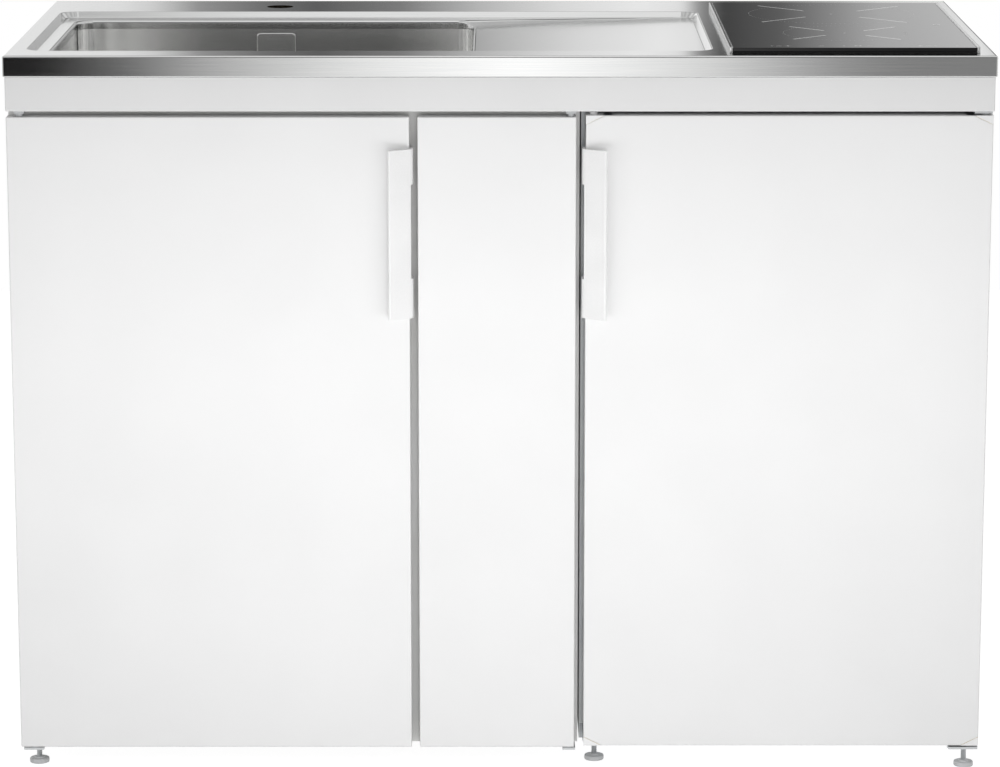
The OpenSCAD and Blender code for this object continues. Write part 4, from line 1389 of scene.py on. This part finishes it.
@dataclass
class Foot:
    """A levelling foot: moulded disc and a threaded stud."""

    node: str
    disc_z: float = 7.5
    rim: tuple[Span, ...] = ((1.2, 0.0), (0.3, 0.4), (0.0, 1.4), (0.0, 4.6), (0.5, 5.6), (1.8, 6.0))
    collar: Span = (3.0, 2.6)
    collar_z: float = 6.2
    stud: float = 3.5
    stud_end: Span = (0.8, 0.6)
    sunk: float = 1.0
    thread: float = 0.45
    pitch: float = 1.5

    def build(self) -> None:
        """Builds the disc and the stud."""
        x, d, z = node_range(self.node)
        at = (sum(x) / 2, sum(d) / 2)
        body = self.node + "_body"
        profile = [(length(x) / 2 - inset, level) for inset, level in self.rim]
        profile += [(self.stud + self.collar[0], self.collar_z)]
        profile += [(self.stud + self.collar[1], self.disc_z), (0.0, self.disc_z)]
        disc = Shape()
        disc.turn([(0.0, 0.0), *profile], at)
        disc.piece(self.node + "_disc", body, GREY_ABS, [self.node])
        profile = [(0.0, self.disc_z - self.sunk), (self.stud, self.disc_z - self.sunk)]
        height = self.disc_z
        while height < z[1] - self.pitch - self.stud_end[1]:
            profile += [(self.stud, height), (self.stud - self.thread, height + self.pitch / 2)]
            height += self.pitch
        profile += [(self.stud, height), (self.stud - self.stud_end[0], z[1]), (0.0, z[1])]
        stud = Shape()
        stud.turn(profile, at, 24)
        stud.piece(self.node + "_stud", body, ZINC)


@dataclass
class FittedNodes:
    """CAD pieces whose shape is right: they only get the finish of the real material."""

    finishes: dict[Finish, tuple[str, ...]] = field(default_factory=dict)

    def dress(self) -> None:
        """Puts each finish on its nodes."""
        for finish, names in self.finishes.items():
            for name in names:
                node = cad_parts[name]
                if not node.material_slots:
                    node.data.materials.append(None)
                for slot in node.material_slots:
                    slot.material = finish.material()
                LOG.info("%s dressed as %s", name, finish.name)


@dataclass
class Lamp:
    """A soft rectangular lamp that reflections don't show. Its place and size are in metres."""

    name: str
    at: Triple
    size: Span
    power: float
    turn: float = 0.0

    def build(self) -> None:
        """Hangs the lamp in its place."""
        data = bpy.data.lights.new(self.name, "AREA")
        data.shape = "RECTANGLE"
        data.size, data.size_y = self.size
        data.energy = self.power
        made = bpy.data.objects.new(self.name, data)
        made.location = self.at
        made.rotation_euler = (math.radians(self.turn), 0.0, 0.0)
        made.visible_glossy = False
        made.visible_camera = False
        bpy.context.scene.collection.objects.link(made)


@dataclass
class Studio:
    """Plain white surroundings, a pale floor, soft lamps and the camera.

    What metal and glass reflect is a room with soft panels: behind the object, ahead of it, and
    ahead of it higher up. Each panel table holds angles from the middle and brightness.
    """

    camera_at: Triple = (0.0, -5.10177, 1.49871)
    pitch: float = 11.757
    lens: float = 144.52
    sensor: float = 36.0
    lamps: tuple[Lamp, ...] = (
        Lamp("lamp_front", (-0.02, -1.0, 0.5), (1.7, 0.25), 4.1, 90.0),
        Lamp("lamp_far", (0.3, -4.6, 0.75), (0.6, 0.6), 26.0, 90.0),
        Lamp("lamp_top", (0.0, -0.3, 2.3), (1.8, 1.0), 9.0),
    )
    floor_radius: float = 3.2
    floor_tone: float = 0.3
    floor_glow: float = 0.92
    floor_lit: float = 0.82
    fill: float = 0.37
    behind: tuple[Span, ...] = (
        (-12.0, 1.0), (-9.0, 0.63), (-6.2, 0.57), (-5.4, 0.54), (-4.95, 0.46), (-4.3, 0.21),
        (-3.4, 0.12), (-2.6, 0.08), (-1.4, 0.15), (-0.3, 0.35), (0.85, 0.52), (2.0, 0.61),
        (2.6, 0.56), (2.85, 0.2), (3.2, 0.06), (4.0, 0.12), (4.7, 0.27), (5.4, 0.45), (6.9, 0.58),
        (7.6, 0.2), (9.5, 0.12), (12.0, 0.35),
    )
    ahead: tuple[Span, ...] = (
        (-12.0, 0.6), (-10.0, 0.0), (-6.5, 0.0), (-5.4, 0.12), (-4.2, 0.36), (-2.2, 0.68),
        (0.3, 0.95), (1.4, 0.82), (2.8, 0.64), (4.9, 0.25), (5.8, 0.18), (9.0, 0.18), (12.0, 1.0),
    )
    ahead_above: tuple[Span, ...] = (
        (-12.0, 1.0), (-9.0, 0.6), (-5.6, 0.45), (-4.6, 0.3), (-3.4, 0.14), (-2.0, 0.09),
        (-0.5, 0.14), (2.0, 0.11), (6.0, 0.11), (8.0, 0.2), (12.0, 1.0),
    )
    view_half: float = 12.0
    above: float = 0.1
    room_light: float = 1.6
    aside: Span = (17.0, 24.0)
    aside_tone: float = 0.8
    aside_waves: float = 13.0
    aside_light: Span = (0.7, 1.3)
    band: Span = (0.25, 0.3)
    band_tone: float = 0.05
    ceiling: Span = (0.6, 0.75)
    ceiling_tone: float = 0.68

    def build(self) -> None:
        """Builds the world, the floor, the lamps and the camera."""
        self.build_world()
        self.build_floor()
        for lamp in self.lamps:
            lamp.build()
        self.build_camera()

    def build_world(self) -> None:
        """Makes the world: even white, and for reflections a room with darker panels."""
        world = bpy.data.worlds.new("studio")
        world.use_nodes = True
        tree = world.node_tree
        tree.nodes.clear()
        way = add_node(tree, "TexCoord").outputs["Generated"]
        sideways, deep, up = add_node(tree, "SeparateXYZ", {0: way}).outputs
        depth = add_node(tree, "Math", {0: deep}, operation="ABSOLUTE")
        azimuth = add_node(tree, "Math", {0: sideways, 1: depth}, operation="ARCTAN2")
        off = add_node(tree, "Math", {0: azimuth}, operation="ABSOLUTE")
        share, aside, risen, high = (
            add_node(tree, "MapRange", {"Value": value, "From Min": low, "From Max": top})
            for value, (low, top) in (
                (azimuth, (-math.radians(self.view_half), math.radians(self.view_half))),
                (off, map(math.radians, self.aside)),
                (up, self.band),
                (up, self.ceiling),
            )
        )
        is_behind, is_above = (
            add_node(tree, "Math", {0: value, 1: least}, operation="GREATER_THAN")
            for value, least in ((deep, 0.0), (up, self.above))
        )
        ahead, ahead_above, behind = (
            self.build_panels(tree, share, panels)
            for panels in (self.ahead, self.ahead_above, self.behind)
        )
        band = add_node(tree, "Math", {0: risen, 1: aside}, operation="SUBTRACT", use_clamp=True)
        colour = ahead
        for cover, layer in (
            (is_above, ahead_above),
            (is_behind, behind),
            (band, grey(self.band_tone)),
            (aside, grey(self.aside_tone)),
            (high, grey(self.ceiling_tone)),
        ):
            mixed = add_node(tree, "Mix", {"Factor": cover, 6: colour, 7: layer}, data_type="RGBA")
            colour = mixed.outputs[2]
        turned = add_node(tree, "Math", {0: azimuth, 1: self.aside_waves}, operation="MULTIPLY")
        wave = add_node(tree, "Math", {0: turned}, operation="SINE")
        low, top = self.aside_light
        sides = add_node(
            tree, "MapRange", {"Value": wave, "From Min": -1.0, "To Min": low, "To Max": top}
        )
        light = add_node(tree, "Mix", {"Factor": aside, 2: self.room_light, 3: sides})
        even, white, room = (
            add_node(tree, "Background", {"Color": tone, "Strength": strength})
            for tone, strength in ((WHITE, self.fill), (WHITE, 1.0), (colour, light))
        )
        rays = add_node(tree, "LightPath").outputs
        glossy = add_node(tree, "MixShader", {0: rays["Is Glossy Ray"], 1: even, 2: room})
        direct = {0: rays["Is Camera Ray"], 1: rays["Is Transmission Ray"]}
        seen = add_node(tree, "Math", direct, operation="MAXIMUM")
        both = add_node(tree, "MixShader", {0: seen, 1: glossy, 2: white})
        add_node(tree, "OutputWorld", {"Surface": both})
        bpy.context.scene.world = world

    def build_panels(self, tree: Tree, share: Node, panels: tuple[Span, ...]) -> Socket:
        """Makes one side of the room: soft panels from the left to the right.

        Args:
            tree: The world's node tree.
            share: Place from left to right, 0 to 1.
            panels: Angle and brightness of each step.

        Returns:
            The colour output.
        """
        ramp = add_node(tree, "ValToRGB", {"Fac": share})
        elements = ramp.color_ramp.elements
        elements.remove(elements[1])
        places = [(angle + self.view_half) / (2.0 * self.view_half) for angle, _ in panels]
        elements[0].position = places[0]
        for place in places[1:]:
            elements.new(place)
        for element, (_, value) in zip(elements, panels):
            element.color = grey(value)
        return ramp.outputs["Color"]

    def build_floor(self) -> None:
        """Makes the pale floor disc, which keeps the object's soft shadow."""
        shape = Shape()
        bmesh.ops.create_circle(
            shape.bm, cap_ends=True, radius=self.floor_radius * METRE, segments=96
        )
        bmesh.ops.scale(shape.bm, verts=shape.bm.verts, vec=(1.0 / METRE,) * 3)
        mesh = bpy.data.meshes.new("floor")
        shape.bm.to_mesh(mesh)
        shape.bm.free()
        floor = bpy.data.objects.new("floor", mesh)
        bpy.context.scene.collection.objects.link(floor)
        paint = bpy.data.materials.new("studio_floor")
        paint.use_nodes = True
        tree = paint.node_tree
        tree.nodes.clear()
        matt, lit = (
            add_node(tree, "BsdfDiffuse", {"Color": grey(tone)})
            for tone in (self.floor_tone, self.floor_lit)
        )
        glow = add_node(tree, "Emission", {"Color": WHITE, "Strength": self.floor_glow})
        bright = add_node(tree, "AddShader", {0: matt, 1: glow})
        spread = add_node(tree, "LightPath").outputs["Is Diffuse Ray"]
        mixed = add_node(tree, "MixShader", {0: spread, 1: bright, 2: lit})
        add_node(tree, "OutputMaterial", {"Surface": mixed})
        mesh.materials.append(paint)

    def build_camera(self) -> None:
        """Makes the camera that was fitted to the photograph."""
        data = bpy.data.cameras.new("camera")
        data.sensor_width, data.lens, data.clip_end = self.sensor, self.lens, 100.0
        made = bpy.data.objects.new("camera", data)
        made.location = self.camera_at
        made.rotation_euler = (math.radians(90.0 - self.pitch), 0.0, 0.0)
        bpy.context.scene.collection.objects.link(made)
        bpy.context.scene.camera = made


def main() -> None:
    """Builds the studio and every sub-assembly in order."""
    logging.basicConfig(level=logging.INFO, format="%(message)s")
    Studio().build()
    Worktop().build()
    SinkBowl().build()
    Hob().build()
    FrontRail().build()
    DoorSheet("left_door_skin", "left_door", "left_door_sheet").build()
    DoorSheet("middle_door_skin", "middle_door", "middle_door_sheet").build()
    DoorSheet("fridge_door_skin", "fridge_door", "fridge_door_sheet", caps=True).build()
    Handle("left_door_handle", "left_door", "left_door_grip", -110.0, -1).build()
    Handle("fridge_door_handle", "fridge_door", "fridge_door_grip", 104.0, 1).build()
    for place in ("left", "middle"):
        for end in ("front", "rear"):
            Foot(f"foot_{place}_{end}").build()
    for side in ("left", "right"):
        Foot(f"foot_fridge_{side}").build()
    FittedNodes(
        {
            GLUED_BOARD: ("worktop_core",),
            FLANGE_STEEL: ("waste_flange", "strainer_basket"),
            PIPE_PP: ("overflow_pipe", "waste_body", "bottle_trap", "outlet_pipe"),
            BLACK_RUBBER: ("hob_gasket",),
            GALVANISED: ("hob_casing", "compressor_tray"),
            COPPER: ("induction_coils",),
            CIRCUIT: ("hob_power_board",),
            BLACK_PLASTIC: ("hob_fan",),
            WHITE_FRAME: ("top_frame", "fridge_shell"),
            WHITE_BOARD: (
                "side_panel_left", "divider_panel", "side_panel_middle", "bottom_panel",
                "back_panel", "top_stretchers", "middle_shelves", "left_door_core",
                "middle_door_core",
            ),
            WHITE_ABS: ("magnet_catches", "door_corner_caps", "thermostat_housing"),
            ZINC: ("cabinet_hinges", "fridge_hinges", "foot_sockets"),
            PU_FOAM: ("fridge_foam", "fridge_door_foam"),
            LINER_PS: ("fridge_liner", "fridge_door_liner"),
            BLACK_ENAMEL: ("condenser", "compressor"),
            ICE_METAL: ("icebox",),
            FLAP_PS: ("icebox_flap",),
            SHELF_GLASS: ("glass_shelves",),
            CLEAR_PS: ("crisper", "door_bins"),
            GREY_ABS: ("thermostat_knob",),
            GREY_SEAL: ("door_gasket",),
        }
    ).dress()


if __name__ == "__main__":
    main()
    bpy.context.scene.view_settings.view_transform = "Standard"
